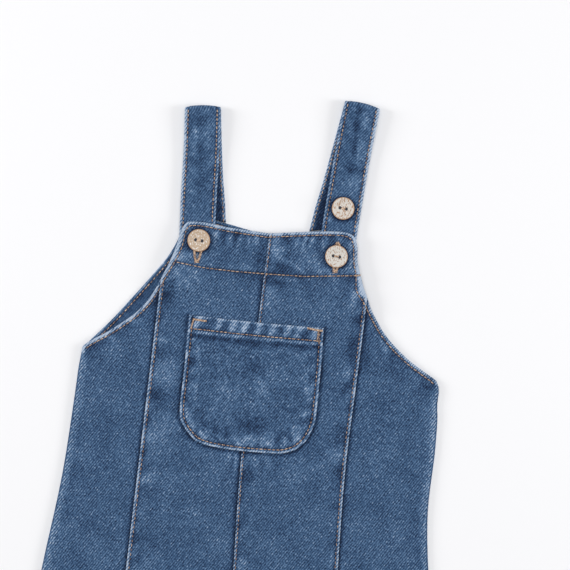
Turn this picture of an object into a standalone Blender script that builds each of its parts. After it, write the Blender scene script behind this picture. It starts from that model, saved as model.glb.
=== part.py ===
"""Denim dungarees for a baby, laid flat on their back, in metres.

+X is to the right as the garment lies, +Y runs up it to the shoulders and +Z is up from the floor. The
origin is the middle of the laid garment, on the floor. The tables below measure from the top of the centre
front seam instead, because a maker measures there; LAY_MIDDLE turns one into the other.

Each cloth piece is one closed wall. Its outline comes from four edges, which follow the short tables, and
its height from what it lies on: the back on the floor, the front on the back and on the strap ends, the
pocket on the front.
"""

import math
from collections import namedtuple

import bmesh
import bpy
from mathutils import Vector

# ------------------------------------------------------------------------------------ driving sizes
CLOTH = 0.0012             # one layer of denim
GAP = 0.0003                # between pieces that are sewn together or lie on each other
SEAM_RIDGE = 0.0007         # how much an allowance under a seam raises the panel that covers it
ALLOWANCE = 0.0085          # width of that allowance
ALLOWANCE_FADE = 0.0025
TURNED = 0.0008             # extra wall where an edge is turned in: bib facing, pocket mouth, leg hems
TURNED_FADE = 0.0010
FACING_DEPTH = 0.0315       # bib top down to the facing's stitch line
HEM_DEPTH = 0.0200
POCKET_HEM_DEPTH = 0.0105
FRONT_LOFT = 0.0010         # how far the front stands off the back inside its edges
LOFT_REACH = 0.0300         # from the edge to where that is reached
BACK_SHOWS = 0.0010         # the back's side edge lies this far outside the front's

STRAP_WALL = 0.0018         # doubled denim
STRAP_WIDTH = 0.0286
FOLD_RADIUS = 0.0009        # inside the shoulder fold
FOLD_ARCH = 0.0015          # the fold's middle stands this far above its corners
FOLD_FLAT = 0.0040          # the front run leaves the fold level, then settles onto the back run
FOLD_EASE = 0.0450
FOLD_TURNS = 6
STRAP_LIFT_MARGIN = 0.0060  # the bib lies flat this far past a strap end under it
STRAP_LIFT_FADE = 0.0180    # and then settles over this distance

GARMENT_TOP = 0.1116        # shoulder fold of the right strap
UNDERARM = -0.1055
CROTCH = -0.3050
HEM = -0.5450
LAY_MIDDLE = (GARMENT_TOP + HEM) / 2

BUTTON_RADIUS = 0.0090
BUTTON_HEIGHT = 0.0026
BUTTON_SIDES = 28
BUTTON_HOLE_RADIUS = 0.0009
BUTTON_HOLE_SPACING = 0.0049
BUTTON_HOLE_SIDES = 12
STEM_RADIUS = 0.0006        # thread wound under a button that passes through the bib
SLIT_LENGTH = 0.0210        # buttonhole, cut through the bib
SLIT_WIDTH = 0.0020
CUTTER_HEIGHT = 0.0400

# Finishes: name, colour, roughness, metallic.
DENIM = ("washed_denim", (0.061, 0.109, 0.202), 0.90, 0.0)
COCONUT = ("coconut_shell", (0.56, 0.49, 0.42), 0.55, 0.0)

# ---------------------------------------------------------------------------------------------- tables
# The front's outer edge on each side, from the bib's corner round the armhole and down the side.
Edge = namedtuple("Edge", "y left right")
FRONT_OUTLINE = (
    Edge(-0.0050, -0.0703, 0.0711),
    Edge(-0.0160, -0.0727, 0.0733),
    Edge(-0.0260, -0.0756, 0.0770),
    Edge(-0.0440, -0.0826, 0.0846),
    Edge(-0.0620, -0.0912, 0.0940),
    Edge(-0.0750, -0.1019, 0.1018),
    Edge(-0.0920, -0.1229, 0.1243),
    Edge(UNDERARM, -0.1400, 0.1452),
    Edge(-0.1290, -0.1408, 0.1475),
    Edge(-0.2000, -0.1445, 0.1482),
    Edge(CROTCH, -0.1560, 0.1575),
    Edge(-0.4000, -0.1610, 0.1615),
    Edge(HEM, -0.1620, 0.1620),
)
# The back's armholes. Below the underarm the back follows the front.
BACK_ARMHOLE = (
    Edge(0.0096, -0.0665, 0.0645),
    Edge(-0.0077, -0.0709, 0.0688),
    Edge(-0.0240, -0.0777, 0.0742),
    Edge(-0.0400, -0.0883, 0.0808),
    Edge(-0.0620, -0.1045, 0.0922),
    Edge(-0.0800, -0.1190, 0.1062),
    Edge(UNDERARM, -0.1410, 0.1462),
)
# The lengthwise seams of the front, and the centre seam's split into two inseams below the crotch.
Seam = namedtuple("Seam", "y left centre right")
SEAMS = (
    Seam(0.0000, -0.0810, 0.0000, 0.0815),
    Seam(-0.0440, -0.0826, -0.0013, 0.0826),
    Seam(-0.1130, -0.0843, -0.0031, 0.0808),
    Seam(-0.1800, -0.0858, -0.0050, 0.0788),
    Seam(CROTCH, -0.0885, -0.0020, 0.0820),
    Seam(HEM, -0.0925, -0.0020, 0.0895),
)
INSEAMS = (
    Edge(CROTCH, -0.0020, -0.0020),
    Edge(-0.3120, -0.0075, 0.0035),
    Edge(-0.3300, -0.0125, 0.0085),
    Edge(-0.3800, -0.0170, 0.0130),
    Edge(-0.4600, -0.0210, 0.0175),
    Edge(HEM, -0.0240, 0.0215),
)
LEFT_SEAM_TOP = -0.0440     # where the side-front seams run out into the armholes
RIGHT_SEAM_TOP = -0.0395

Point = namedtuple("Point", "x y")
BIB_TOP_LEFT = (
    Point(-0.0703, -0.0050), Point(-0.0687, -0.0007), Point(-0.0648, 0.0031), Point(-0.0546, 0.0037),
    Point(-0.0330, 0.0016), Point(0.0000, 0.0000),
)
BIB_TOP_RIGHT = (
    Point(0.0000, 0.0000), Point(0.0242, 0.0034), Point(0.0480, 0.0063), Point(0.0576, 0.0069),
    Point(0.0641, 0.0059), Point(0.0689, 0.0023), Point(0.0711, -0.0050),
)
BACK_NECK_LEFT = (
    Point(-0.0665, 0.0096), Point(-0.0643, 0.0093), Point(-0.0349, 0.0046), Point(-0.0143, 0.0007),
    Point(0.0000, -0.0015),
)
BACK_NECK_RIGHT = (
    Point(0.0000, -0.0015), Point(0.0140, 0.0012), Point(0.0305, 0.0044), Point(0.0607, 0.0102),
    Point(0.0645, 0.0109),
)
POCKET_SIDES = (
    Edge(-0.0710, -0.0572, 0.0506),
    Edge(-0.1100, -0.0572, 0.0514),
    Edge(-0.1425, -0.0577, 0.0512),
    Edge(-0.1530, -0.0567, 0.0492),
    Edge(-0.1625, -0.0512, 0.0449),
)
POCKET_MOUTH = (Point(-0.0572, -0.0710), Point(-0.0033, -0.0716), Point(0.0506, -0.0710))
POCKET_BOTTOM = (
    Point(-0.0512, -0.1625), Point(-0.0415, -0.1709), Point(-0.0280, -0.1739), Point(-0.0030, -0.1751),
    Point(0.0240, -0.1743), Point(0.0369, -0.1701), Point(0.0449, -0.1625),
)

# Each strap: where it is sewn to the back neckline, and its middle line up its back run to the shoulder
# fold, whose corners' middle is given, and down its front run to the end behind the bib.
StrapWay = namedtuple("StrapWay", "base_left base_right back_middle fold front_upper front_lower front_end")
LEFT_STRAP = StrapWay(
    BACK_NECK_LEFT[1], BACK_NECK_LEFT[2], Point(-0.0556, 0.0400), Point(-0.0628, 0.0953),
    Point(-0.0604, 0.0604), Point(-0.0588, 0.0195), Point(-0.0550, -0.0400),
)
RIGHT_STRAP = StrapWay(
    BACK_NECK_RIGHT[2], BACK_NECK_RIGHT[3], Point(0.0528, 0.0430), Point(0.0641, 0.1095),
    Point(0.0600, 0.0680), Point(0.0570, 0.0290), Point(0.0525, -0.0400),
)
LEFT_BUTTONHOLE = Point(-0.0555, -0.0162)
RIGHT_BUTTONHOLE = Point(0.0551, -0.0142)
LEFT_BIB_BUTTON = Point(-0.0554, -0.0111)
RIGHT_BIB_BUTTON = Point(0.0550, -0.0132)
RIGHT_STRAP_BUTTON = Point(0.0566, 0.0255)

# A button's half section, from the middle of its face over the rim to its back.
Turn = namedtuple("Turn", "radius height")
BUTTON_PROFILE = (
    Turn(0.0, 0.0019),
    Turn(0.0054, 0.0019),
    Turn(0.0064, BUTTON_HEIGHT),
    Turn(0.0080, BUTTON_HEIGHT),
    Turn(BUTTON_RADIUS, 0.0016),
    Turn(BUTTON_RADIUS, 0.0009),
    Turn(0.0079, 0.0),
)

# Soft creases in the front's loft: the place of the middle, the bearing from +X, and the size.
Crease = namedtuple("Crease", "x y degrees length width height")
CREASES = (
    Crease(-0.0400, -0.2750, 22, 0.110, 0.034, 0.0012),
    Crease(0.0380, -0.2820, 160, 0.100, 0.032, 0.0011),
    Crease(-0.0700, -0.3300, 36, 0.120, 0.034, 0.0009),
    Crease(0.0720, -0.3360, 147, 0.130, 0.034, 0.0010),
    Crease(-0.1050, -0.4250, 12, 0.100, 0.036, 0.0010),
    Crease(0.0980, -0.4380, 171, 0.110, 0.036, 0.0009),
    Crease(-0.0620, -0.4750, 158, 0.090, 0.034, 0.0008),
)

# Where the walls' grids have their lines: depths below the panel's top at its middle edge, and distances in
# from an edge. The rows close up where the outline turns or the wall steps.
FRONT_ROWS = (
    0.0, 0.004, 0.012, 0.021, 0.0300, 0.0348, 0.0395, 0.046, 0.062, 0.080, 0.100, 0.125, 0.150, 0.175,
    0.205, 0.235, 0.265, 0.288, -CROTCH, 0.312, 0.321, 0.336, 0.360, 0.390, 0.422, 0.454, 0.490, 0.5240,
    0.5265, -HEM,
)
BACK_ROWS = (
    0.0, 0.010, 0.024, 0.040, 0.058, 0.076, 0.092, 0.104, 0.113, 0.145, 0.185, 0.235, 0.280, -CROTCH,
    0.312, 0.322, 0.345, 0.390, 0.440, 0.495, -HEM,
)
SIDE_ROWS = (0.0, 0.010, 0.024, 0.042)
HEM_ROWS = (0.0, 0.0190, 0.0210)
SEAM_LINES = (0.0, 0.002, 0.0055, ALLOWANCE, ALLOWANCE + ALLOWANCE_FADE)
SIDE_LINES = (0.0, 0.006, 0.016)
POCKET_MOUTH_LINES = (0.0, 0.0095, 0.0115)
POCKET_FOOT_LINES = (0.0, 0.004, 0.010)
STRAP_BASE_LINES = (0.0, 0.014)
STRAP_FOLD_LINES = (0.0, 0.010)
STRAP_END_LINES = (0.0, 0.012)
STRAP_COLUMNS = (0.0, 0.2, 0.5, 0.8, 1.0)

# Usual sizes of the pieces, which place those lines, and the even spacing of the lines between them.
Cut = namedtuple("Cut", "width length across down")
CENTRE_CUT = Cut(0.086, -HEM, 0.0105, None)
SIDE_CUT = Cut(0.060, HEM_DEPTH - HEM, 0.013, 0.026)
BACK_CUT = Cut(0.140, -HEM, 0.022, None)
POCKET_CUT = Cut(0.108, 0.104, 0.011, 0.013)
STRAP_BACK_STEP = 0.020
STRAP_FRONT_STEP = 0.015
HEADING_REACH = 0.02        # share of a strap's run over which its direction is read


# ------------------------------------------------------------------------------------ curves
def soft_step(low, high, value):
    """0 below low, 1 above high, and smooth between them."""
    share = min(1.0, max(0.0, (value - low) / (high - low)))
    return share * share * (3 - 2 * share)


def smooth_value(knots, values, at):
    """The value at a place between rising knots, on cubics that never overshoot a row."""
    at = min(knots[-1], max(knots[0], at))
    steps = [b - a for a, b in zip(knots, knots[1:])]
    rises = [(b - a) / step for a, b, step in zip(values, values[1:], steps)]
    inner = [2 * a * b / (a + b) if a * b > 0 else 0.0 for a, b in zip(rises, rises[1:])]
    slopes = [rises[0], *inner, rises[-1]]
    i = max(n for n in range(len(steps)) if knots[n] <= at)
    t = (at - knots[i]) / steps[i]
    start = values[i] * (1 + 2 * t) * (1 - t) ** 2 + slopes[i] * steps[i] * t * (1 - t) ** 2
    end = values[i + 1] * t * t * (3 - 2 * t) - slopes[i + 1] * steps[i] * t * t * (1 - t)
    return start + end


def column(table, name):
    """A function of y that gives one column of a table between its rows."""
    rows = sorted(table, key=lambda row: row.y)
    heights = [row.y for row in rows]
    values = [getattr(row, name) for row in rows]
    return lambda y: smooth_value(heights, values, y)


def line_length(points):
    return sum(math.dist(a, b) for a, b in zip(points, points[1:]))


def along(points):
    """An edge through points, by the share of its length."""
    knots = [line_length(points[: n + 1]) for n in range(len(points))]
    xs = [point.x for point in points]
    ys = [point.y for point in points]
    return lambda t: Point(smooth_value(knots, xs, t * knots[-1]), smooth_value(knots, ys, t * knots[-1]))


def falling(x_at, top, bottom):
    """An edge that runs down from top to bottom, with its x read at each height."""
    return lambda t: Point(x_at(top + (bottom - top) * t), top + (bottom - top) * t)


def straight(a, b):
    return lambda t: Point(a.x + (b.x - a.x) * t, a.y + (b.y - a.y) * t)


def moved_end(edge, end, x):
    """An edge whose start (end 0) or finish (end 1) moves to x, the rest of it following evenly."""
    shift = x - edge(end).x
    return lambda t: Point(edge(t).x + shift * (t if end else 1 - t), edge(t).y)


def patch(top, bottom, left, right):
    """The flat patch between four edges: u runs from left to right and v from top to bottom."""
    corners = (left(0), right(0), left(1), right(1))

    def place(u, v):
        weights = ((1 - u) * (1 - v), u * (1 - v), (1 - u) * v, u * v)
        edges = (top(u), bottom(u), left(v), right(v))
        shares = (1 - v, v, 1 - u, u)
        return Point(*(
            sum(share * edge[axis] for share, edge in zip(shares, edges))
            - sum(weight * corner[axis] for weight, corner in zip(weights, corners))
            for axis in (0, 1)
        ))

    return place


def spread(length, near, far, spacing):
    """Shares of a length: lines at set distances from each end, and even ones between them."""
    first = [value / length for value in near]
    last = [1 - value / length for value in reversed(far)]
    count = max(1, round((last[0] - first[-1]) * length / spacing))
    between = [first[-1] + (last[0] - first[-1]) * n / count for n in range(1, count)]
    return first + between + last


front_left, front_right = column(FRONT_OUTLINE, "left"), column(FRONT_OUTLINE, "right")
armhole_left, armhole_right = column(BACK_ARMHOLE, "left"), column(BACK_ARMHOLE, "right")
seam_left, seam_centre, seam_right = (column(SEAMS, name) for name in ("left", "centre", "right"))
inseam_left, inseam_right = column(INSEAMS, "left"), column(INSEAMS, "right")

# What differs between the two halves: the sign of X, and the lines and places on that side.
Half = namedtuple("Half", "sign outline armhole seam seam_top inseam bib_top back_neck strap")
LEFT = Half(-1, front_left, armhole_left, seam_left, LEFT_SEAM_TOP, inseam_left, BIB_TOP_LEFT,
            BACK_NECK_LEFT, LEFT_STRAP)
RIGHT = Half(1, front_right, armhole_right, seam_right, RIGHT_SEAM_TOP, inseam_right, BIB_TOP_RIGHT,
             BACK_NECK_RIGHT, RIGHT_STRAP)


def middle_edge(half):
    """The edge beside the centre seam and, below the crotch, the inseam, half a gap to its own side."""
    return lambda y: (seam_centre(y) if y > CROTCH else half.inseam(y)) + half.sign * GAP / 2


# ------------------------------------------------------------------------------------ heights
def crease_height(x, y):
    total = 0.0
    for crease in CREASES:
        angle = math.radians(crease.degrees)
        dx, dy = x - crease.x, y - crease.y
        lengthwise = abs(dx * math.cos(angle) + dy * math.sin(angle)) / (crease.length / 2)
        sideways = abs(dy * math.cos(angle) - dx * math.sin(angle)) / (crease.width / 2)
        total += crease.height * (1 - soft_step(0, 1, lengthwise)) * (1 - soft_step(0, 1, sideways))
    return total


def strap_lift(x, y):
    """1 where a strap end lies under the bib, fading to 0 beside and below it."""
    lift = 0.0
    for half in (LEFT, RIGHT):
        inner = abs(half.strap.front_end.x) - STRAP_WIDTH / 2 - STRAP_LIFT_MARGIN
        lower = half.strap.front_end.y - STRAP_LIFT_MARGIN
        beside = soft_step(inner - STRAP_LIFT_FADE, inner, half.sign * x)
        lift = max(lift, beside * soft_step(lower - STRAP_LIFT_FADE, lower, y))
    return lift


def front_under(x, y):
    """The height of the front's underside: on the back at its edges, and over the strap ends at the bib."""
    inside = min(x - front_left(y), front_right(y) - x)
    if y < CROTCH:
        inside = min(inside, max(inseam_left(y) - x, x - inseam_right(y)))
    rest = CLOTH + GAP + FRONT_LOFT * soft_step(0, LOFT_REACH, inside) + crease_height(x, y)
    on_strap = 2 * (STRAP_WALL + GAP)
    return rest + strap_lift(x, y) * (on_strap - rest)


def side_over(x, y):
    """The front's outer face, with the extra wall of the bib's facing and of the leg hems."""
    facing = soft_step(-TURNED_FADE, TURNED_FADE, y + FACING_DEPTH)
    hem = soft_step(-TURNED_FADE, TURNED_FADE, HEM + HEM_DEPTH - y)
    return front_under(x, y) + CLOTH + TURNED * (facing + hem)


def centre_over(half):
    """The outer face of a centre front panel, raised along the seams whose allowance lies under it."""

    def ridge(distance):
        return 1 - soft_step(ALLOWANCE, ALLOWANCE + ALLOWANCE_FADE, distance)

    def height(x, y):
        begun = 1 - soft_step(half.seam_top - ALLOWANCE_FADE, half.seam_top, y)
        raised = begun * ridge(abs(x - half.seam(y)))
        if half.sign > 0 and y > CROTCH:
            raised = max(raised, ridge(x - seam_centre(y)))
        return side_over(x, y) + SEAM_RIDGE * raised

    return height


def pocket_under(x, y):
    """The pocket lies on both centre panels and bridges the ridge of the seam between them."""
    bridge = 1 - soft_step(2 * ALLOWANCE, 4 * ALLOWANCE, abs(x - seam_centre(y)))
    return front_under(x, y) + CLOTH + GAP + SEAM_RIDGE * bridge


def pocket_over(x, y):
    mouth = POCKET_MOUTH[1].y - POCKET_HEM_DEPTH
    return pocket_under(x, y) + CLOTH + TURNED * soft_step(-TURNED_FADE, TURNED_FADE, y - mouth)


# ------------------------------------------------------------------------------------ making the pieces
def new_collection(name):
    collection = bpy.data.collections.new(name)
    bpy.context.scene.collection.children.link(collection)
    return collection


def material(finish):
    name, colour, roughness, metallic = finish
    made = bpy.data.materials.get(name) or bpy.data.materials.new(name)
    made.use_nodes = True
    shader = made.node_tree.nodes["Principled BSDF"]
    shader.inputs["Base Color"].default_value = (*colour, 1)
    shader.inputs["Roughness"].default_value = roughness
    shader.inputs["Metallic"].default_value = metallic
    return made


def new_piece(name, mesh, finish, collection):
    mesh.materials.append(material(finish))
    mesh.shade_smooth()
    mesh.set_sharp_from_angle(angle=math.radians(40))
    piece = bpy.data.objects.new(name, mesh)
    collection.objects.link(piece)
    return piece


def cloth_wall(name, columns, rows, inner, outer):
    """A closed wall: a grid laid on the inner face, extruded, with the copy laid on the outer face."""
    bm = bmesh.new()
    across, down = len(columns) - 1, len(rows) - 1
    bmesh.ops.create_grid(bm, x_segments=across, y_segments=down, size=0.5)
    extruded = bmesh.ops.extrude_face_region(bm, geom=bm.faces[:] + bm.edges[:], use_keep_orig=True)
    copies = {item for item in extruded["geom"] if isinstance(item, bmesh.types.BMVert)}
    for vert in bm.verts:
        u = columns[round((vert.co.x + 0.5) * across)]
        v = rows[round((0.5 - vert.co.y) * down)]
        vert.co = (outer if vert in copies else inner)(u, v)
    bmesh.ops.recalc_face_normals(bm, faces=bm.faces[:])
    mesh = bpy.data.meshes.new(name)
    bm.to_mesh(mesh)
    bm.free()
    return new_piece(name, mesh, DENIM, garment)


def panel(name, place, columns, rows, under, over):
    """A wall on a flat patch, between two heights."""

    def face(height):
        def point(u, v):
            x, y = place(u, v)
            return Vector((x, y - LAY_MIDDLE, height(x, y)))

        return point

    return cloth_wall(name, columns, rows, face(under), face(over))


def half_panel(name, half, top_edge, outer_x, columns, depths, under, over):
    """A panel between its outer edge and the middle, whose top edge runs from left to right."""
    left_half = half.sign < 0
    outer = falling(outer_x, top_edge(0 if left_half else 1).y, HEM)
    middle = falling(middle_edge(half), top_edge(1 if left_half else 0).y, HEM)
    left, right = (outer, middle) if left_half else (middle, outer)
    top = moved_end(top_edge, 1 if left_half else 0, middle(0).x)
    rows = [depth / depths[-1] for depth in depths]
    return panel(name, patch(top, straight(left(1), right(1)), left, right), columns, rows, under, over)


def front_centre(name, half):
    def outer_x(y):
        return half.outline(y) if y > half.seam_top else half.seam(y) - half.sign * GAP / 2

    columns = spread(CENTRE_CUT.width, SEAM_LINES, SEAM_LINES, CENTRE_CUT.across)
    return half_panel(name, half, along(half.bib_top), outer_x, columns, FRONT_ROWS, front_under,
                      centre_over(half))


def front_side(name, half):
    """From its point in the armhole, between the side-front seam and the side."""
    start = half.seam_top - 2 * GAP
    inner = falling(lambda y: half.seam(y) + half.sign * GAP / 2, start, HEM)
    outer = falling(half.outline, UNDERARM, HEM)
    armhole = moved_end(falling(half.outline, start, UNDERARM), 0, inner(0).x)
    rows = spread(SIDE_CUT.length, SIDE_ROWS, HEM_ROWS, SIDE_CUT.down)
    if half.sign < 0:
        place = patch(lambda t: armhole(1 - t), straight(outer(1), inner(1)), outer, inner)
        columns = spread(SIDE_CUT.width, SIDE_LINES, SEAM_LINES[:2], SIDE_CUT.across)
    else:
        place = patch(armhole, straight(inner(1), outer(1)), inner, outer)
        columns = spread(SIDE_CUT.width, SEAM_LINES[:2], SIDE_LINES, SIDE_CUT.across)
    return panel(name, place, columns, rows, front_under, side_over)


def back(name, half):
    def outer_x(y):
        return half.armhole(y) if y > UNDERARM else half.outline(y) + half.sign * BACK_SHOWS

    columns = spread(BACK_CUT.width, SIDE_LINES[:2], SIDE_LINES[:2], BACK_CUT.across)
    return half_panel(name, half, along(half.back_neck), outer_x, columns, BACK_ROWS, lambda x, y: 0.0,
                      lambda x, y: CLOTH)


def pocket():
    left = falling(column(POCKET_SIDES, "left"), POCKET_SIDES[0].y, POCKET_SIDES[-1].y)
    right = falling(column(POCKET_SIDES, "right"), POCKET_SIDES[0].y, POCKET_SIDES[-1].y)
    columns = spread(POCKET_CUT.width, SIDE_LINES[:2], SIDE_LINES[:2], POCKET_CUT.across)
    rows = spread(POCKET_CUT.length, POCKET_MOUTH_LINES, POCKET_FOOT_LINES, POCKET_CUT.down)
    return panel("pocket", patch(along(POCKET_MOUTH), along(POCKET_BOTTOM), left, right), columns, rows,
                 pocket_under, pocket_over)


# A station is one row of a strap: the middle of its inner and its outer face, the way across, and the arch.
Station = namedtuple("Station", "inner outer sideways arch")


def flat(point, height=0.0):
    return Vector((point.x, point.y, height))


def heading(line, t):
    """The direction of a line at a share of its length."""
    return (flat(line(min(1, t + HEADING_REACH))) - flat(line(max(0, t - HEADING_REACH)))).normalized()


def strap_stations(way):
    """A doubled band: back run on the floor, shoulder fold, and front run on the back run, to the bib."""
    upward = (flat(way.fold) - flat(way.back_middle)).normalized()
    downward = (flat(way.front_upper) - flat(way.fold)).normalized()
    outward = (upward - downward).normalized()
    turn = flat(way.fold) - outward * (FOLD_RADIUS + STRAP_WALL)
    turn_point = Point(turn.x, turn.y)
    up = Vector((0, 0, 1))

    sewn_edge = flat(way.base_right) - flat(way.base_left)
    base = (flat(way.base_left) + flat(way.base_right)) / 2 + Vector((0, GAP, 0))
    stations = [Station(base + up * STRAP_WALL, base, sewn_edge / STRAP_WIDTH, Vector())]
    back_points = (Point(base.x, base.y), way.back_middle, turn_point)
    back_length = line_length(back_points)
    for t in spread(back_length, STRAP_BASE_LINES, STRAP_FOLD_LINES, STRAP_BACK_STEP)[1:-1]:
        middle = flat(along(back_points)(t))
        run = heading(along(back_points), t)
        stations.append(Station(middle + up * STRAP_WALL, middle, Vector((run.y, -run.x, 0)), Vector()))

    centre = turn + up * (STRAP_WALL + FOLD_RADIUS)
    for n in range(FOLD_TURNS + 1):
        angle = math.pi * (n / FOLD_TURNS - 0.5)
        ray = outward * math.cos(angle) + up * math.sin(angle)
        arch = outward * FOLD_ARCH * math.cos(angle)
        stations.append(Station(centre + ray * FOLD_RADIUS, centre + ray * (FOLD_RADIUS + STRAP_WALL),
                                Vector((outward.y, -outward.x, 0)), arch))

    front_points = (turn_point, way.front_upper, way.front_lower, way.front_end)
    front_length = line_length(front_points)
    for t in spread(front_length, STRAP_FOLD_LINES, STRAP_END_LINES, STRAP_FRONT_STEP)[1:]:
        settled = soft_step(FOLD_FLAT, FOLD_EASE, t * front_length)
        height = STRAP_WALL + 2 * FOLD_RADIUS + (GAP - 2 * FOLD_RADIUS) * settled
        middle = flat(along(front_points)(t), height)
        run = heading(along(front_points), t)
        stations.append(Station(middle, middle + up * STRAP_WALL, Vector((-run.y, run.x, 0)), Vector()))
    return stations


def strap(name, half):
    stations = strap_stations(half.strap)

    def face(side):
        def point(u, n):
            station = stations[n]
            across = station.sideways * STRAP_WIDTH * (u - 0.5)
            arch = station.arch * (1 - (2 * u - 1) ** 2)
            return getattr(station, side) + across + arch - Vector((0, LAY_MIDDLE, 0))

        return point

    return cloth_wall(name, STRAP_COLUMNS, range(len(stations)), face("inner"), face("outer"))


def button(name, place, seat, stem):
    """A turned disc with a raised rim, two thread holes and, at a buttonhole, a stem of wound thread."""
    foot = (Turn(0.0, 0.0),)
    if stem:
        foot = (Turn(STEM_RADIUS, 0.0), Turn(STEM_RADIUS, -stem), Turn(0.0, -stem))
    profile = BUTTON_PROFILE + foot
    mesh = bpy.data.meshes.new(name)
    edges = [(n, n + 1) for n in range(len(profile) - 1)]
    mesh.from_pydata([(turn.radius, 0, turn.height) for turn in profile], edges, [])
    piece = new_piece(name, mesh, COCONUT, garment)
    piece.location = (place.x, place.y - LAY_MIDDLE, seat)
    turned = piece.modifiers.new("turned", "SCREW")
    turned.steps = turned.render_steps = BUTTON_SIDES
    turned.use_merge_vertices = True
    turned.merge_threshold = 0.00001
    for side in (-1, 1):
        hole = cutter_cylinder(f"{name}_hole_{'left' if side < 0 else 'right'}")
        hole.location = piece.location + Vector((side * BUTTON_HOLE_SPACING / 2, 0, 0))
        cut(piece, hole)
    return piece


def cutter_cylinder(name):
    bm = bmesh.new()
    bmesh.ops.create_cone(bm, cap_ends=True, segments=BUTTON_HOLE_SIDES, radius1=BUTTON_HOLE_RADIUS,
                          radius2=BUTTON_HOLE_RADIUS, depth=4 * BUTTON_HEIGHT)
    return cutter(name, bm)


def cutter(name, bm):
    mesh = bpy.data.meshes.new(name)
    bm.to_mesh(mesh)
    bm.free()
    made = bpy.data.objects.new(name, mesh)
    made.hide_render = True
    made.display_type = "WIRE"
    cutters.objects.link(made)
    return made


def cut(piece, tool):
    change = piece.modifiers.new(tool.name, "BOOLEAN")
    change.operation = "DIFFERENCE"
    change.solver = "EXACT"
    change.object = tool


def buttonhole(panel_piece, name, place):
    bm = bmesh.new()
    bmesh.ops.create_cube(bm, size=1)
    bmesh.ops.scale(bm, vec=(SLIT_WIDTH, SLIT_LENGTH, CUTTER_HEIGHT), verts=bm.verts[:])
    slit = cutter(name, bm)
    slit.location = (place.x, place.y - LAY_MIDDLE, 0)
    cut(panel_piece, slit)


for item in list(bpy.data.objects):
    bpy.data.objects.remove(item)
garment = new_collection("dungarees")
cutters = new_collection("cutters")

back("back_left", LEFT)
back("back_right", RIGHT)
strap("strap_left", LEFT)
strap("strap_right", RIGHT)
bib_left = front_centre("front_centre_left", LEFT)
bib_right = front_centre("front_centre_right", RIGHT)
buttonhole(bib_left, "slit_left", LEFT_BUTTONHOLE)
buttonhole(bib_right, "slit_right", RIGHT_BUTTONHOLE)
front_side("front_side_left", LEFT)
front_side("front_side_right", RIGHT)
pocket()

strap_top = 2 * STRAP_WALL + GAP
bib_top = strap_top + GAP + CLOTH + TURNED
bib_stem = bib_top + GAP - (strap_top + GAP)
button("button_bib_left", LEFT_BIB_BUTTON, bib_top + GAP, bib_stem)
button("button_bib_right", RIGHT_BIB_BUTTON, bib_top + GAP, bib_stem)
button("button_strap_right", RIGHT_STRAP_BUTTON, strap_top + GAP, 0)
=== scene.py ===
# %% [markdown]
# # A baby's denim dungarees, laid flat
# The real garment is stone-washed cotton denim, sewn with thick tan thread and closed with coconut buttons.
# It lies on its back on a white table, straps folded forward, and is seen from straight above.
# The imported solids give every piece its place. This script dresses them: fine cloth shells, sewing, buttons,
# a table, soft light and the camera.

import math
from collections import namedtuple

import bmesh
import bpy
import numpy as np
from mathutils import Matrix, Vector, kdtree, noise
from mathutils.bvhtree import BVHTree


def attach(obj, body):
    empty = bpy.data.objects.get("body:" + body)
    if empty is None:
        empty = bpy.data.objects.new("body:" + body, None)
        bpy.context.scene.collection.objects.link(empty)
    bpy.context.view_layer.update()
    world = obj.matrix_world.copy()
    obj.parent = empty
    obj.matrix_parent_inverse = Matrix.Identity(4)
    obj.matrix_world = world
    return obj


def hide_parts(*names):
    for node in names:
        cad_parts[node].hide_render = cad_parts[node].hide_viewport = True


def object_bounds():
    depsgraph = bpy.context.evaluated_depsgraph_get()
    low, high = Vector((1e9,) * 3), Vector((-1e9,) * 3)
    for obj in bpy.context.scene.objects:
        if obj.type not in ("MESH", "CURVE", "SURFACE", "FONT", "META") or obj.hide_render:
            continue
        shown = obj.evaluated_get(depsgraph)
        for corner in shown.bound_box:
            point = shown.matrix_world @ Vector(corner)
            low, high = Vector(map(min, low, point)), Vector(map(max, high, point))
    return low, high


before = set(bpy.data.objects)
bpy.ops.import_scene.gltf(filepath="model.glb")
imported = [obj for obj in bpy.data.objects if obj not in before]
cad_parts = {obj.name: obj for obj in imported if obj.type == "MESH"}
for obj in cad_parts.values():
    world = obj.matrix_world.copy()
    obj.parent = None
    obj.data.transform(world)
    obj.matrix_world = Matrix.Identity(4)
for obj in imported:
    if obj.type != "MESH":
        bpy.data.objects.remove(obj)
solid_low, solid_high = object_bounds()
bpy.ops.object.select_all(action="DESELECT")
print("solids from", tuple(solid_low), "to", tuple(solid_high))

# %% [markdown]
# ## Units and the pattern's origin
# A pattern is drawn in millimetres from the top of the centre front seam, so the tables here are too.
# One function turns pattern places into Blender's metres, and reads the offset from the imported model.

# %% Pattern units
MM = 0.001
GARMENT_TOP = 111.6         # shoulder fold of the right strap, above the top of the centre seam
SEAM_TOP = solid_high.y - GARMENT_TOP * MM


def metres(x, y, z):
    """Pattern millimetres to an array of points in metres."""
    x, y, z = np.broadcast_arrays(x, y, z)
    return np.stack([x * MM, y * MM + SEAM_TOP, z * MM], axis=-1)


print("top of the centre seam at", round(SEAM_TOP, 4))

# %% [markdown]
# ## The camera
# The photographer stood over the table with a long lens, and the garment lies a little askew in the frame.
# A real lens 2 m away gives that view. The frame spans 570 of the photograph's pixels.

# %% Camera
FRAME_PIXELS = 570
PIXEL = 0.8                 # millimetres of table that one pixel shows
TURN = 5.6                  # degrees that the garment lies askew
LENS_HEIGHT = 2000.0
LOOK_AT = (16.4, -39.8)     # pattern place in the middle of the frame
SENSOR = 36.0

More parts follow.
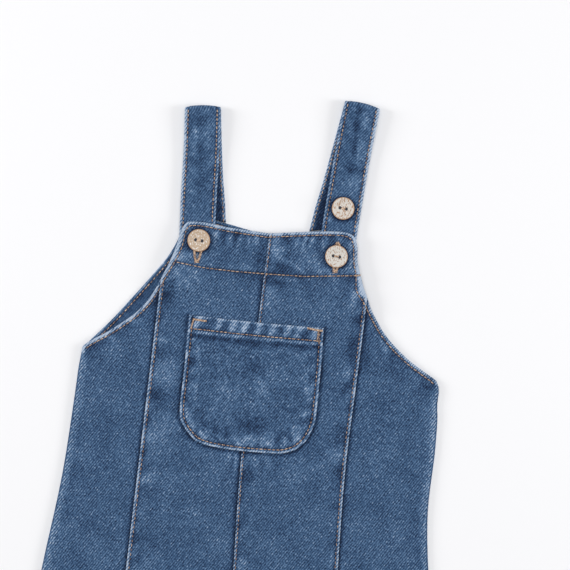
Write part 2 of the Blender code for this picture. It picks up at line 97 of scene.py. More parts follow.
camera_data = bpy.data.cameras.new("camera")
camera_data.sensor_width = SENSOR
camera_data.lens = SENSOR * LENS_HEIGHT / (FRAME_PIXELS * PIXEL)
camera = bpy.data.objects.new("camera", camera_data)
bpy.context.scene.collection.objects.link(camera)
camera.location = metres(*LOOK_AT, LENS_HEIGHT)
camera.rotation_euler = (0, 0, math.radians(TURN))
bpy.context.scene.camera = camera
print("lens", round(camera_data.lens, 1), "mm")

# %% [markdown]
# ## Table and light
# A product table is lit by a big soft box overhead and one on each side, so the shadows are wide and faint.
# The side boxes stand low, which is what draws the seams and the straps' edges. The table is matt white.

# %% Soft boxes
Box = namedtuple("Box", "name x y z size power")
BOXES = (
    Box("overhead", 0.0, 0.55, 2.2, 1.6, 24.0),
    Box("left_side", -1.9, 0.3, 0.68, 0.70, 21.8),
    Box("right_side", 1.9, 0.2, 0.70, 0.65, 19.6),
)
for box in BOXES:
    light = bpy.data.lights.new(box.name, "AREA")
    light.size = box.size
    light.energy = box.power
    lamp = bpy.data.objects.new(box.name, light)
    lamp.location = (box.x, box.y, box.z)
    lamp.rotation_euler = (-lamp.location).to_track_quat("-Z", "Y").to_euler()
    bpy.context.scene.collection.objects.link(lamp)
print(len(BOXES), "soft boxes")


# %% Colours and nodes
def colour(text):
    """An sRGB hex colour as the linear one that Blender's sockets take."""
    parts = [int(text[n:n + 2], 16) / 255 for n in (1, 3, 5)]
    linear = [part / 12.92 if part <= 0.04045 else ((part + 0.055) / 1.055) ** 2.4 for part in parts]
    return (*linear, 1.0)


def add(tree, kind, sockets=(), **settings):
    """A shader node with its settings (a ramp's stops among them), its sockets' values and its links."""
    made = tree.nodes.new("ShaderNode" + kind)
    stops = settings.pop("stops", ())
    for place, _ in stops[1:-1]:
        made.color_ramp.elements.new(place)
    for element, (place, text) in zip(made.color_ramp.elements if stops else (), stops):
        element.position, element.color = place, colour(text)
    for name, value in settings.items():
        setattr(made, name, value)
    for key, value in dict(sockets).items():
        if isinstance(value, bpy.types.NodeSocket):
            tree.links.new(value, made.inputs[key])
        else:
            made.inputs[key].default_value = value
    return made


def new_material(name, sockets):
    """A material, its node tree and its shader, whose own sockets hold the constant values."""
    made = bpy.data.materials.new(name)
    made.use_nodes = True
    shader = made.node_tree.nodes["Principled BSDF"]
    for key, value in sockets.items():
        shader.inputs[key].default_value = value
    return made, made.node_tree, shader


print("mid grey is", round(colour("#808080")[0], 3), "in linear light")

# %% Room and table
ROOM_LIGHT = 0.32
TABLE_SIZE = 8.0
TABLE_GAP = 0.0001          # metres between the table's face and the cloth's underside

world = bpy.data.worlds.new("studio")
world.use_nodes = True
room = world.node_tree.nodes["Background"].inputs
room["Color"].default_value = (1, 1, 1, 1)
room["Strength"].default_value = ROOM_LIGHT
bpy.context.scene.world = world
bpy.context.scene.view_settings.view_transform = "Standard"

bpy.ops.mesh.primitive_plane_add(size=TABLE_SIZE, location=(0, 0, -TABLE_GAP))
table = bpy.context.object
table.name = "table"
# Matt laminate scatters light evenly, so the table stays plain.
laminate = new_material("matt_white_laminate", {"Base Color": colour("#F4F4F6"), "Roughness": 0.8})[0]
table.data.materials.append(laminate)
print("a white table", TABLE_SIZE, "m across")

# %% [markdown]
# ## The pattern's outlines
# These short tables shape the solids too: the outer edge, the armholes, the seams, the bib's top and the
# pocket. The cloth's armhole and hip have a few more rows, as a real cut curves more finely than a solid has
# to. Smooth cubics run through the rows, and they never overshoot one.

# %% Outlines
UNDERARM, CROTCH, HEM = -105.5, -305.0, -545.0
Edge = namedtuple("Edge", "y left right")
Seam = namedtuple("Seam", "y left centre right")
Point = namedtuple("Point", "x y")
FRONT_OUTLINE = (
    Edge(-5.0, -70.3, 71.1), Edge(-16.0, -72.7, 72.3), Edge(-26.0, -75.6, 75.6), Edge(-35.0, -78.9, 78.8),
    Edge(-44.0, -82.6, 83.0), Edge(-53.0, -86.5, 87.1), Edge(-62.0, -91.2, 92.9), Edge(-68.0, -95.5, 97.1),
    Edge(-75.0, -101.9, 103.1), Edge(-83.5, -111.8, 112.5), Edge(-92.0, -122.9, 123.7),
    Edge(-98.0, -132.2, 133.6), Edge(UNDERARM, -140.0, 144.9), Edge(-112.0, -140.3, 146.9),
    Edge(-122.0, -140.6, 145.9), Edge(-136.0, -141.1, 147.3), Edge(-160.0, -142.2, 147.8),
    Edge(-200.0, -144.5, 146.6), Edge(CROTCH, -156.0, 157.5), Edge(-400.0, -161.0, 161.5),
    Edge(HEM, -162.0, 162.0),
)
BACK_ARMHOLE = (
    Edge(9.6, -66.5, 64.5), Edge(-7.7, -70.9, 68.8), Edge(-24.0, -77.7, 73.2), Edge(-40.0, -88.3, 79.2),
    Edge(-62.0, -104.5, 90.9), Edge(-80.0, -118.1, 106.2), Edge(UNDERARM, -140.2, 145.1),
)
SEAMS = (
    Seam(0.0, -81.0, 0.0, 81.5), Seam(-44.0, -82.6, -1.3, 82.6), Seam(-113.0, -84.3, -3.1, 80.8),
    Seam(-180.0, -85.8, -5.0, 78.8), Seam(CROTCH, -88.5, -2.0, 82.0), Seam(HEM, -92.5, -2.0, 89.5),
)
INSEAMS = (
    Edge(CROTCH, -2.0, -2.0), Edge(-312.0, -7.5, 3.5), Edge(-330.0, -12.5, 8.5), Edge(-380.0, -17.0, 13.0),
    Edge(-460.0, -21.0, 17.5), Edge(HEM, -24.0, 21.5),
)
SEAM_TOPS = {-1: -44.0, 1: -43.0}       # where the side-front seams run out into the armholes
BIB_TOP = {
    -1: (Point(-70.3, -5.0), Point(-68.7, -0.7), Point(-64.8, 3.1), Point(-54.6, 3.7), Point(-33.0, 1.6),
         Point(0.0, 0.0)),
    1: (Point(0.0, 0.0), Point(24.2, 3.4), Point(48.0, 6.3), Point(57.6, 6.9), Point(64.1, 5.9),
        Point(68.9, 2.3), Point(71.1, -5.0)),
}
BACK_NECK = {
    -1: (Point(-66.5, 9.6), Point(-64.3, 9.3), Point(-34.9, 4.6), Point(-14.3, 0.7), Point(0.0, -1.5)),
    1: (Point(0.0, -1.5), Point(14.0, 1.2), Point(30.5, 4.4), Point(60.7, 10.2), Point(64.5, 10.9)),
}
POCKET_SIDES = (
    Edge(-71.0, -57.2, 50.6), Edge(-110.0, -57.2, 51.4), Edge(-142.5, -57.7, 51.2),
    Edge(-153.0, -56.7, 49.2), Edge(-162.5, -51.2, 44.9),
)
POCKET_MOUTH = (Point(-57.2, -71.0), Point(-3.3, -71.6), Point(50.6, -71.0))
POCKET_BOTTOM = (
    Point(-51.2, -162.5), Point(-41.5, -170.9), Point(-28.0, -173.9), Point(-3.0, -175.1),
    Point(24.0, -174.3), Point(36.9, -170.1), Point(44.9, -162.5),
)

print("the outer edge has", len(FRONT_OUTLINE), "rows on each side")


# %% Edges from tables
def smooth_through(knots, values):
    """A function that runs through a table's rows on cubics that never overshoot one."""
    knots, values = np.array(knots, float), np.array(values, float)
    steps = np.diff(knots)
    rises = np.diff(values) / steps
    before, after = rises[:-1], rises[1:]
    same_way = before * after > 0
    inner = np.where(same_way, 2 * before * after / np.where(same_way, before + after, 1), 0)
    slopes = np.concatenate(([rises[0]], inner, [rises[-1]]))

    def value(at):
        at = np.clip(at, knots[0], knots[-1])
        i = np.clip(np.searchsorted(knots, at, side="right") - 1, 0, len(steps) - 1)
        t = (at - knots[i]) / steps[i]
        start = values[i] * (1 + 2 * t) * (1 - t) ** 2 + slopes[i] * steps[i] * t * (1 - t) ** 2
        return start + values[i + 1] * t * t * (3 - 2 * t) - slopes[i + 1] * steps[i] * t * t * (1 - t)

    return value


def column(rows, name):
    """One column of a table as a function of y."""
    rows = sorted(rows, key=lambda row: row.y)
    return smooth_through([row.y for row in rows], [getattr(row, name) for row in rows])


def both_sides(rows):
    """A table's left and right columns as functions of y, by side."""
    return {side: column(rows, word) for side, word in SIDES.items()}


def run_lengths(points):
    """How far along a run of points each one lies."""
    return np.concatenate(([0], np.cumsum(np.linalg.norm(np.diff(points, axis=0), axis=1))))


def along(points):
    """An edge through points, by the share of its length."""
    points = np.array(points, float)
    knots = run_lengths(points)
    x_at, y_at = smooth_through(knots, points[:, 0]), smooth_through(knots, points[:, 1])
    return lambda t: (x_at(t * knots[-1]), y_at(t * knots[-1]))


def falling(x_at, top, bottom):
    """An edge that runs down from top to bottom, with its x read at each height."""
    return lambda t: (x_at(top + (bottom - top) * t), top + (bottom - top) * t)


def straight(a, b):
    """An edge straight from one place to another."""
    return lambda t: (a[0] + (b[0] - a[0]) * t, a[1] + (b[1] - a[1]) * t)


def moved_end(edge, end, x):
    """An edge whose start (end 0) or finish (end 1) moves to x, the rest following evenly."""
    shift = x - edge(end)[0]
    return lambda t: (edge(t)[0] + shift * (t if end else 1 - t), edge(t)[1])


SIDES = {-1: "left", 1: "right"}
outline, armhole, side_seam, inseam, pocket_side = (
    both_sides(rows) for rows in (FRONT_OUTLINE, BACK_ARMHOLE, SEAMS, INSEAMS, POCKET_SIDES)
)
centre_seam = column(SEAMS, "centre")
print("chest", float(outline[1](-129) - outline[-1](-129)), "mm wide")

# %% [markdown]
# ## Lines to sew along
# Every row of stitching follows an edge or a seam. A line is sampled every half millimetre, and one search
# tells each point of the cloth how far it lies from the line, on which side, and how far along it.
# The cloth dips along a line, puckers beside it, and wears white on the edge that the line holds down.

# %% Lines
Line = namedtuple("Line", "points lengths")
LINE_STEP = 0.5
SHARES = np.linspace(0, 1, 400)


def read_at(at, lengths, values):
    """Rows of values, read off at places along their run."""
    return np.stack([np.interp(at, lengths, axis) for axis in values.T], axis=-1)


def unit(vectors):
    """The vectors' directions, each 1 long."""
    return vectors / np.linalg.norm(vectors, axis=-1, keepdims=True)


def line_through(x, y):
    """A line with its points evenly spaced."""
    points = np.stack(np.broadcast_arrays(x, y), axis=-1).astype(float)
    lengths = run_lengths(points)
    even = np.linspace(0, lengths[-1], max(2, round(lengths[-1] / LINE_STEP) + 1))
    return Line(read_at(even, lengths, points), even)


def beside(line, offset):
    """The line moved to its left (offset above 0) or right."""
    ahead = unit(np.gradient(line.points, axis=0))
    moved = line.points + offset * np.stack([-ahead[:, 1], ahead[:, 0]], axis=-1)
    keep = np.ones(len(moved), bool)
    keep[1:] = (np.diff(moved, axis=0) * ahead[1:]).sum(axis=1) > 0
    return line_through(*moved[keep].T)


def part_of(line, start, end):
    """The stretch of a line between two lengths along it."""
    inside = (line.lengths >= start) & (line.lengths <= end)
    return line_through(*line.points[inside].T)


def near(line, x, y):
    """For points: the distance from a line, which side of it they are on (+1 left), and the length along."""
    tree = kdtree.KDTree(len(line.points))
    for n, (px, py) in enumerate(line.points):
        tree.insert((px, py, 0), n)
    tree.balance()
    found = [tree.find((px, py, 0)) for px, py in zip(x.ravel(), y.ravel())]
    index = np.array([item[1] for item in found]).reshape(x.shape)
    distance = np.array([item[2] for item in found]).reshape(x.shape)
    ahead = np.gradient(line.points, axis=0)[index]
    to_x, to_y = x - line.points[index, 0], y - line.points[index, 1]
    side = np.sign(ahead[..., 0] * to_y - ahead[..., 1] * to_x)
    return distance, side, line.lengths[index]


def edge_line(edge):
    """A whole edge as a line."""
    return line_through(*edge(SHARES))


def down(x_at, top, bottom):
    """A line along an edge from one height to another, with its x read at each."""
    return edge_line(falling(x_at, top, bottom))


def joined(*lines):
    """Lines end to end, as one."""
    return line_through(*np.concatenate([line.points for line in lines]).T)


def bar(*points):
    """A line straight from point to point."""
    return line_through(*np.array(points).T)


def curve(points):
    """A smooth line through points."""
    return edge_line(along(points))


print("a line has a point every", LINE_STEP, "mm")

# %% Edges and rows of stitches
EDGE_STITCH = 3.0           # rows of stitches, in from the edge that they hold
SIDE_STITCH = 2.4
CENTRE_STITCH = 1.6
POCKET_STITCH = 2.9
POCKET_HEM = 10.6
HEM_STITCH = 19.0
Swing = namedtuple("Swing", "y reach most")
SWINGS = {-1: Swing(-17.0, 13.0, 1.6), 1: Swing(-37.0, 8.5, 3.2)}


def bump_at(distance, width):
    """1 on a line, fading away over about a width."""
    return np.exp(-(distance / width) ** 2)


# Round the top: up the left armhole, over the bib and down the right armhole.
bib_edge = joined(
    down(outline[-1], UNDERARM, BIB_TOP[-1][0].y), curve(BIB_TOP[-1]),
    curve(BIB_TOP[1]), down(outline[1], BIB_TOP[1][-1].y, UNDERARM),
)
bib_side = {-1: down(outline[-1], BIB_TOP[-1][0].y, SEAM_TOPS[-1]),
            1: down(outline[1], BIB_TOP[1][-1].y, SEAM_TOPS[1])}
front_arm = {side: down(outline[side], SEAM_TOPS[side], UNDERARM) for side in SIDES}
bib_top = joined(curve(BIB_TOP[-1]), curve(BIB_TOP[1]))
facing = bar(
    (-72.0, -30.0), (-50.0, -32.4), (-22.3, -32.9), (0.8, -32.5), (31.0, -31.5), (71.1, -27.0), (76.0, -26.0),
)
centre_line = down(centre_seam, 0.0, CROTCH)
side_lines = {side: down(side_seam[side], SEAM_TOPS[side], HEM) for side in SIDES}
pocket_edge = joined(
    down(pocket_side[-1], POCKET_SIDES[0].y, POCKET_SIDES[-1].y), curve(POCKET_BOTTOM),
    down(pocket_side[1], POCKET_SIDES[-1].y, POCKET_SIDES[0].y),
)
pocket_mouth = curve(POCKET_MOUTH)

# The row swings in from the edge and back on each side of the facing.
edge_x, edge_y = bib_edge.points[:, :1], bib_edge.points[:, 1:]
swung = sum((side * edge_x > 0) * swing.most * bump_at(edge_y - swing.y, swing.reach)
            for side, swing in SWINGS.items())
bib_row = beside(bib_edge, -EDGE_STITCH - swung)
centre_row = beside(centre_line, CENTRE_STITCH)
side_rows = {side: beside(side_lines[side], -side * SIDE_STITCH) for side in SIDES}
pocket_row = beside(pocket_edge, POCKET_STITCH)
pocket_hem_row = line_through(pocket_mouth.points[:, 0], pocket_mouth.points[:, 1] - POCKET_HEM)
print("stitching round the bib and armholes:", round(bib_row.lengths[-1]), "mm")

# %% [markdown]
# ## How high the cloth lies
# The back lies on the table. The front lies on the back, on its own turned edges and on the strap ends, and
# the pocket lies on the front. A few long soft creases cross the hips and legs, as on the solids.

# %% Layers
LAYER, GAP = 1.2, 0.3               # a layer of denim, and the room between two layers
SEAM_RIDGE, TURNED = 0.7, 0.8       # how much a seam's allowance or a turned edge adds
ALLOWANCE, ALLOWANCE_FADE, TURNED_FADE = 8.5, 2.5, 1.0
FACING_DEPTH, HEM_DEPTH, POCKET_HEM_DEPTH = 31.5, 20.0, 10.5
FRONT_LOFT, LOFT_REACH = 1.0, 30.0  # how far the front rises, and how far in from its edge it has risen
BACK_SHOWS = 1.0                    # how far the back shows beside the front
STRAP_WALL, STRAP_WIDTH = 1.8, 28.6
STRAP_LIFT_MARGIN, STRAP_LIFT_FADE = 6.0, 18.0      # round a strap's end, where the bib rises over it
StrapWay = namedtuple("StrapWay", "base_left base_right back_middle fold front_upper front_lower front_end")
STRAPS = {
    -1: StrapWay(BACK_NECK[-1][1], BACK_NECK[-1][2], Point(-55.6, 40.0), Point(-62.8, 95.3),
                 Point(-60.4, 60.4), Point(-58.8, 19.5), Point(-55.0, -40.0)),
    1: StrapWay(BACK_NECK[1][2], BACK_NECK[1][3], Point(52.8, 43.0), Point(64.1, 109.5),
                Point(60.0, 68.0), Point(57.0, 29.0), Point(52.5, -40.0)),
}
print("the denim is", LAYER, "mm thick and a strap", STRAP_WALL, "mm")

# %% Creases
Crease = namedtuple("Crease", "x y degrees length width height")
CREASES = (
    Crease(-40, -275, 22, 110, 34, 1.2), Crease(38, -282, 160, 100, 32, 1.1),
    Crease(-70, -330, 36, 120, 34, 0.9), Crease(72, -336, 147, 130, 34, 1.0),
    Crease(-105, -425, 12, 100, 36, 1.0), Crease(98, -438, 171, 110, 36, 0.9),
    Crease(-62, -475, 158, 90, 34, 0.8),
)


def soft_step(low, high, value):
    """0 below low, 1 above high, and smooth between them."""
    share = np.clip((value - low) / (high - low), 0, 1)
    return share * share * (3 - 2 * share)


def crease_height(x, y):
    """How far the soft creases lift the front: each is a low oval hill."""
    total = np.zeros_like(x)
    for crease in CREASES:
        angle = math.radians(crease.degrees)
        dx, dy = x - crease.x, y - crease.y
        lengthwise = np.abs(dx * math.cos(angle) + dy * math.sin(angle)) / (crease.length / 2)
        sideways = np.abs(dy * math.cos(angle) - dx * math.sin(angle)) / (crease.width / 2)
        total += crease.height * (1 - soft_step(0, 1, lengthwise)) * (1 - soft_step(0, 1, sideways))
    return total


print(len(CREASES), "soft creases on the hips and legs")


# %% Heights
def front_under(x, y):
    """The front's underside: it lies on the back and on its own allowances, and over the strap ends."""
    inside = np.minimum(x - outline[-1](y), outline[1](y) - x)
    leg = np.minimum(inside, np.maximum(inseam[-1](y) - x, x - inseam[1](y)))
    inside = np.where(y < CROTCH, leg, inside)
    rest = LAYER + GAP + FRONT_LOFT * soft_step(0, LOFT_REACH, inside) + crease_height(x, y)
    lift = np.zeros_like(x)
    for side, way in STRAPS.items():
        inner = abs(way.front_end.x) - STRAP_WIDTH / 2 - STRAP_LIFT_MARGIN
        lower = way.front_end.y - STRAP_LIFT_MARGIN
        beside_strap = soft_step(inner - STRAP_LIFT_FADE, inner, side * x)
        lift = np.maximum(lift, beside_strap * soft_step(lower - STRAP_LIFT_FADE, lower, y))
    return rest + lift * (2 * (STRAP_WALL + GAP) - rest)


def side_over(x, y):
    """A side panel's face, thicker where the facing and the hem are turned in."""
    facing_fold = soft_step(-TURNED_FADE, TURNED_FADE, y + FACING_DEPTH)
    leg_hem = soft_step(-TURNED_FADE, TURNED_FADE, HEM + HEM_DEPTH - y)
    return front_under(x, y) + LAYER + TURNED * (facing_fold + leg_hem)


def centre_over(side):
    """A centre panel's face, raised along the seams by the allowances folded under it."""
    def ridge(distance):
        return 1 - soft_step(ALLOWANCE, ALLOWANCE + ALLOWANCE_FADE, distance)

    def height(x, y):
        begun = 1 - soft_step(SEAM_TOPS[side] - ALLOWANCE_FADE, SEAM_TOPS[side], y)
        raised = begun * ridge(np.abs(x - side_seam[side](y)))
        if side > 0:
            raised = np.maximum(raised, np.where(y > CROTCH, ridge(x - centre_seam(y)), 0))
        return side_over(x, y) + SEAM_RIDGE * raised

    return height


def pocket_under(x, y):
    """The pocket's underside, which bridges the raised centre seam."""
    bridge = 1 - soft_step(2 * ALLOWANCE, 4 * ALLOWANCE, np.abs(x - centre_seam(y)))
    return front_under(x, y) + LAYER + GAP + SEAM_RIDGE * bridge


def pocket_over(x, y):
    """The pocket's face, thicker at the turned hem of its mouth."""
    turned = soft_step(-TURNED_FADE, TURNED_FADE, y - (POCKET_MOUTH[1].y - POCKET_HEM_DEPTH))
    return pocket_under(x, y) + LAYER + TURNED * turned


print("bib face at", float(side_over(np.array(-50.0), np.array(-10.0))), "mm")

# %% [markdown]
# ## What sewing and washing do to the cloth, and where shade is painted
# Thread shrinks in the wash, so the cloth puckers in short uneven waves beside every row, and stone-washing
# then whitens the crests and leaves the hollows dark. Height and colour come from the same numbers here:
# `Surface` holds the height to add, and three painted values that the denim reads. Relief runs from hollow
# to crest, wear is thread worn white, and deep is painted shade: in grooves, beside folds, round buttons, in
# hollows.

# %% Wash marks, and painted light and shade
Surface = namedtuple("Surface", "height relief wear deep")
PLAIN = Surface(0, 0, 0, 0)
Mark = namedtuple("Mark", "x y wide tall strength degrees", defaults=(0,))
# Placed one by one. A strength below 0 is dark, above 0 pale, and most marks stand upright.
# Most marks are wash. Some pale and dark pairs are painted light and shade on small folds and pleats, across
# the facing and beside the lower centre seam.
WASH_AND_SHADE_MARKS = [Mark(*row) for row in (
    (-76.2, -57.6, 9, 15, -0.9), (-77.3, -103.6, 9, 13, -0.9), (-75.9, -137.3, 17, 14, -0.65),
    (-79.6, -185.4, 9, 9, -0.9), (-80, -209.9, 7, 8, -0.6), (-77.5, -92.4, 8, 9, 0.6),
    (-71, -119, 16, 26, 0.45), (-73.5, -168, 15, 30, 0.4), (-77.7, -204.9, 8, 10, 0.6),
    (75.2, -62.4, 9, 12, -0.9), (75.5, -81.1, 12, 20, -1), (74.9, -116.8, 11, 10, -0.8),
    (72.7, -150.8, 9, 18, -0.8), (73.2, -185.5, 9, 15, -0.8), (85.2, -78.3, 5, 26, -0.7, 4),
    (65.9, -43.6, 8, 10, -0.4), (72, -48, 11, 26, 0.9), (77.5, -34, 5, 18, 1.2, 23),
    (70.7, -102.2, 11, 18, 0.6), (66.1, -170.2, 10, 18, 0.5), (11.8, -26, 28, 6, -1.2, -16),
    (21.5, -23.4, 24, 3, 0.9, -24), (6.8, -13, 14, 24, 0.6), (8.5, -39, 20, 7, -1.1, -4),
    (4.5, -57.5, 17, 20, 0.8), (16.4, -14.5, 5, 12, -0.8), (1.7, -196, 8, 22, -0.9), (6, -182.5, 9, 9, 0.8),
    (-1, -207, 6, 14, -0.5), (-8.6, -186, 3.5, 18, 1), (-14.9, -180, 5, 8, 0.7, 20),
    (-11.9, -187, 3, 13, -0.8), (12, -183.5, 4, 10, -0.8), (16.4, -181, 4, 10, 0.8, 25),
    (111.9, -101.5, 16, 8, -0.6, -30), (137, -109.5, 16, 3, -0.8, -24), (134, -116, 16, 3, -0.5, -14),
    (86.7, -93.2, 8, 12, -0.4), (-57.5, -28, 18, 18, 1), (55.8, -27.5, 13, 9, 0.8),
    (-70, -40.5, 7, 16, 1, 12), (-60, -46.5, 4, 16, 0.9, 42), (-53, -42, 3, 12, 0.6, 40),
    (41.5, -23, 4, 20, 0.9, 28), (-42, -6.5, 4, 12, 1, -12), (-30.6, -8, 4, 12, 1, -8),
    (-23.1, -8.5, 3.5, 12, 1, -5), (-15.8, -7.5, 3.5, 11, 1), (-9.5, -8, 3.5, 11, 0.9, 4),
    (23.3, -4.5, 3.5, 10, 0.9, -10), (28.7, -2.5, 3.5, 10, 0.9, -10), (34.5, -3.5, 3.5, 11, 0.9, -14),
    (44.7, -2.5, 4, 10, 0.9), (-36.5, -7, 4, 11, -0.7, -10), (-27, -8, 3, 10, -0.7, -6),
    (-19.5, -7.5, 3, 10, -0.8), (-5.8, -14, 7, 26, -0.65), (26, -3.5, 3, 10, -1, -10),
    (31.5, -3, 3, 10, -1, -12), (39.5, -2, 5, 10, -0.8, -10), (14, -4.5, 5, 9, -0.6),
    (50.5, -1, 6, 8, -0.8), (66, -16, 6, 20, 0.7), (31.6, -15.4, 3, 17, 0.8, 33), (48, -22, 3, 12, 0.7, 33),
    (144.5, -150, 7, 30, 0.3), (62, 0.5, 7, 5, 0.7), (-68, -165, 26, 120, 0.22), (-30, -52, 44, 34, 0.16),
    (-33, -24, 16, 12, -0.35), (-44, -58, 12, 14, 0.35, 20),
)]
STRAP_MARKS = [Mark(*row) for row in (
    (-64.1, 83.9, 12, 8, -0.8), (-66.5, 71.5, 7, 22, 0.7), (-57.6, 74, 6, 22, 0.5),
    (-59.2, 91.5, 8, 8, 0.4), (-65, 43.2, 8, 8, 0.6), (-64.1, 27.6, 6, 7, 0.6), (-59, 52, 9, 50, -0.35, 5),
    (-61, 34.9, 9, 8, -0.4), (62.8, 105, 7, 8, -0.8), (66.9, 98, 6, 14, 0.6), (61, 90, 5, 16, -0.7),
    (61.4, 74.6, 5, 14, -0.9), (64.3, 73, 3, 16, 0.7), (67.2, 67.6, 7, 5, 0.6, 30), (59.2, 57, 9, 8, -0.9),
    (62, 47, 16, 14, 0.45),
)]
# The row of dark marks just under the pocket's hem is painted shade in its hollow.
POCKET_MARKS = [Mark(*row) for row in (
    (-0.9, -108.3, 12, 12, -0.6), (2.6, -153.5, 19, 14, -0.9), (-51.5, -108.6, 6, 8, -0.8),
    (-52.7, -125.6, 5, 14, -0.4), (-51.2, -140.5, 6, 9, -0.6), (43, -97.5, 7, 8, -0.7),
    (43.7, -114.3, 4, 12, -0.4), (40.2, -135.2, 7, 6, -0.4), (45.2, -147.9, 7, 8, -0.8, 40),
    (22.6, -163.5, 5, 12, -1.2), (-27.5, -160.5, 6, 8, -0.9), (-18.5, -163.5, 4, 10, -1),
    (-36.5, -156.7, 9, 7, -0.9, 30), (-46.4, -127, 3, 26, 0.9), (-48.7, -99, 7, 12, 0.6),
    (41.4, -120, 3.5, 28, 0.9), (42.7, -141, 7, 5, 0.9, 20), (-11, -166.5, 7, 11, 1),
    (0.7, -166.5, 14, 12, 1.1), (14, -166, 13, 11, 1.1), (-5.3, -167.5, 2.5, 7, -0.7),
    (7.3, -166.5, 2.5, 8, -0.7), (-23.5, -167, 4.5, 9, 0.9, 15), (-34, -166, 4, 8, 0.8, -15),
    (-38.7, -163.5, 9, 4, 0.9, -40), (5.3, -123.7, 5, 20, 0.3, 35), (-20.4, -128, 16, 16, 0.4),
    (5, -130, 15, 34, 0.35), (27.4, -165.2, 4, 8, 1), (33, -163, 4, 8, -0.9),
    (36.9, -157.6, 6, 11, 0.7, 30), (28, -158.5, 7, 5, -0.7), (-47.8, -156.4, 4, 16, 1.1, 36),
    (-42, -149, 6, 9, -0.6, 20), (-49.9, -86.9, 11, 4, -1, -8), (-38, -87.5, 8, 4, -0.9, -8),
    (-27.5, -88.2, 9, 4, -1), (-16.7, -89, 8, 4, -0.9), (-3.6, -89.5, 11, 6, -1), (13, -87.5, 12, 4, -0.8),
    (24.5, -87.6, 8, 4, -0.9), (35.5, -87.9, 12, 5, -1), (46, -85.5, 7, 4, -1),
    (-11.5, -76.5, 4, 10, 0.6, -8), (-42.5, -76.5, 6, 9, 0.6),
)]
# Where the pale puckers cross the pocket's hem.
HEM_CRESTS = (-50.5, -33.3, -21.8, -12.6, -1.3, 10.0, 22.2, 30.4, 43.8)

print(len(WASH_AND_SHADE_MARKS), "marks on the front,", len(POCKET_MARKS), "on the pocket and",
      len(STRAP_MARKS), "on the straps")


# %% Waves and marks
MARK_FADE = 0.9             # how steeply a mark fades towards its edge
MOST_TONE = 1.2             # what overlapping marks may add up to


def ripple(x, y, size, seed):
    """Smooth uneven waves of about that size, from about -1 to 1."""
    flat = zip((x / size).ravel(), (y / size).ravel())
    return np.array([noise.noise((a, b, seed)) for a, b in flat]).reshape(x.shape) * 1.6


def marks_at(marks, x, y):
    """The marks' tone at points: a soft oval for each one."""
    total = np.zeros_like(x)
    for mark in marks:
        angle = math.radians(mark.degrees)
        dx, dy = x - mark.x, y - mark.y
        across = (dx * math.cos(angle) + dy * math.sin(angle)) / (mark.wide / 2)
        lengthwise = (dy * math.cos(angle) - dx * math.sin(angle)) / (mark.tall / 2)
        total += mark.strength * np.exp(-(across ** 2 + lengthwise ** 2) * MARK_FADE)
    return np.clip(total, -MOST_TONE, MOST_TONE)


def marked(marks, x, y):
    """The marks as low relief, and as pale and dark cloth: wash, and painted light and shade on small folds.
    """
    tone = marks_at(marks, x, y)
    return Surface(0.12 * tone, 1.15 * tone, 0, 0)


def all_over(x, y, seed):
    """The broad uneven lie of any laid cloth."""
    broad = ripple(x, y, 42.0, seed)
    small = ripple(x, y, 15.0, seed + 5.0)
    return Surface(0.22 * broad + 0.07 * small, 0.10 * broad + 0.18 * small, 0, 0)


def combined(*surfaces):
    """What several things do to the cloth, added up."""
    return Surface(*(sum(values) for values in zip(*surfaces)))


print("marks add up to", MOST_TONE, "at most")

# %% Rows and edges on the cloth
ROUNDED = 1.1               # how far in from an edge its rounding reaches
SMOOTH_WEAR = 2.3           # relief that looks as pale as wear of 1
PUCKER, DIP, DIP_WIDTH = 0.16, 0.3, 0.7
# Painted shade along each row of stitches, and how wide it is
ROW_SHADE, ROW_SHADE_WIDTH = 1.1, 1.2
Row = namedtuple("Row", "line seed reach wave strength")
Worn = namedtuple("Worn", "edge width strength seed smooth", defaults=(0.0,))


def beyond(distance, width):
    """1 up to a line, fading away beyond it."""
    return bump_at(np.maximum(distance, 0), width)


def sewn(x, y, row):
    """A row of stitches: a narrow dip painted with shade, and puckers that fade away from it on both sides."""
    distance, side, length = near(row.line, x, y)
    slant = length + distance * side * 0.5
    waves = ripple(slant, distance * side, row.wave, row.seed) * row.strength * 1.5
    waves = waves * bump_at(distance, row.reach)
    height = PUCKER * waves - DIP * bump_at(distance, DIP_WIDTH)
    return Surface(height, waves, 0, ROW_SHADE * bump_at(distance, ROW_SHADE_WIDTH))


def worn_edge(x, y, worn):
    """An edge that the wash has whitened, over its rounding and on inwards, in ticks or partly smooth."""
    distance, _, length = near(worn.edge, x, y)
    broad, fine = (ripple(length, length * 0, size, worn.seed + step) for size, step in ((6.0, 0), (1.7, 3)))
    white = worn.strength * (0.95 + 0.25 * broad + 0.2 * fine) * beyond(distance - ROUNDED, worn.width)
    return Surface(0, SMOOTH_WEAR * worn.smooth * white, (1 - worn.smooth) * white, 0)


def edged(x, y, rows, edges):
    """A panel's rows of stitches and its worn edges."""
    return combined(*(sewn(x, y, row) for row in rows), *(worn_edge(x, y, edge) for edge in edges))


def beside_fold(x, y, fold, side_wanted, width, strength):
    """The shade in the step under a folded edge that lies on this cloth."""
    distance, side, _ = near(fold, x, y)
    return Surface(0, 0, 0, np.where(side * side_wanted >= 0, strength * bump_at(distance, width), 0))


print("an edge is rounded over", ROUNDED, "mm")

# %% Button places
BUTTON_RADIUS, BUTTON_HEIGHT, HOLE_RADIUS, HOLE_SPACING = 9.0, 2.6, 1.25, 5.0
ButtonPlace = namedtuple("ButtonPlace", "node x y seat turn ground fleck share")
BUTTONS = (
    ButtonPlace("button_bib_left", -55.4, -11.1, 6.5, -4.0, "#B9A28A", "#E9E6E4", 0.385),
    ButtonPlace("button_bib_right", 55.0, -13.2, 6.5, -5.0, "#CECAC3", "#A07A60", 0.40),
    ButtonPlace("button_strap_right", 56.6, 25.5, 4.2, -5.0, "#D0CAC2", "#A88468", 0.42),
)


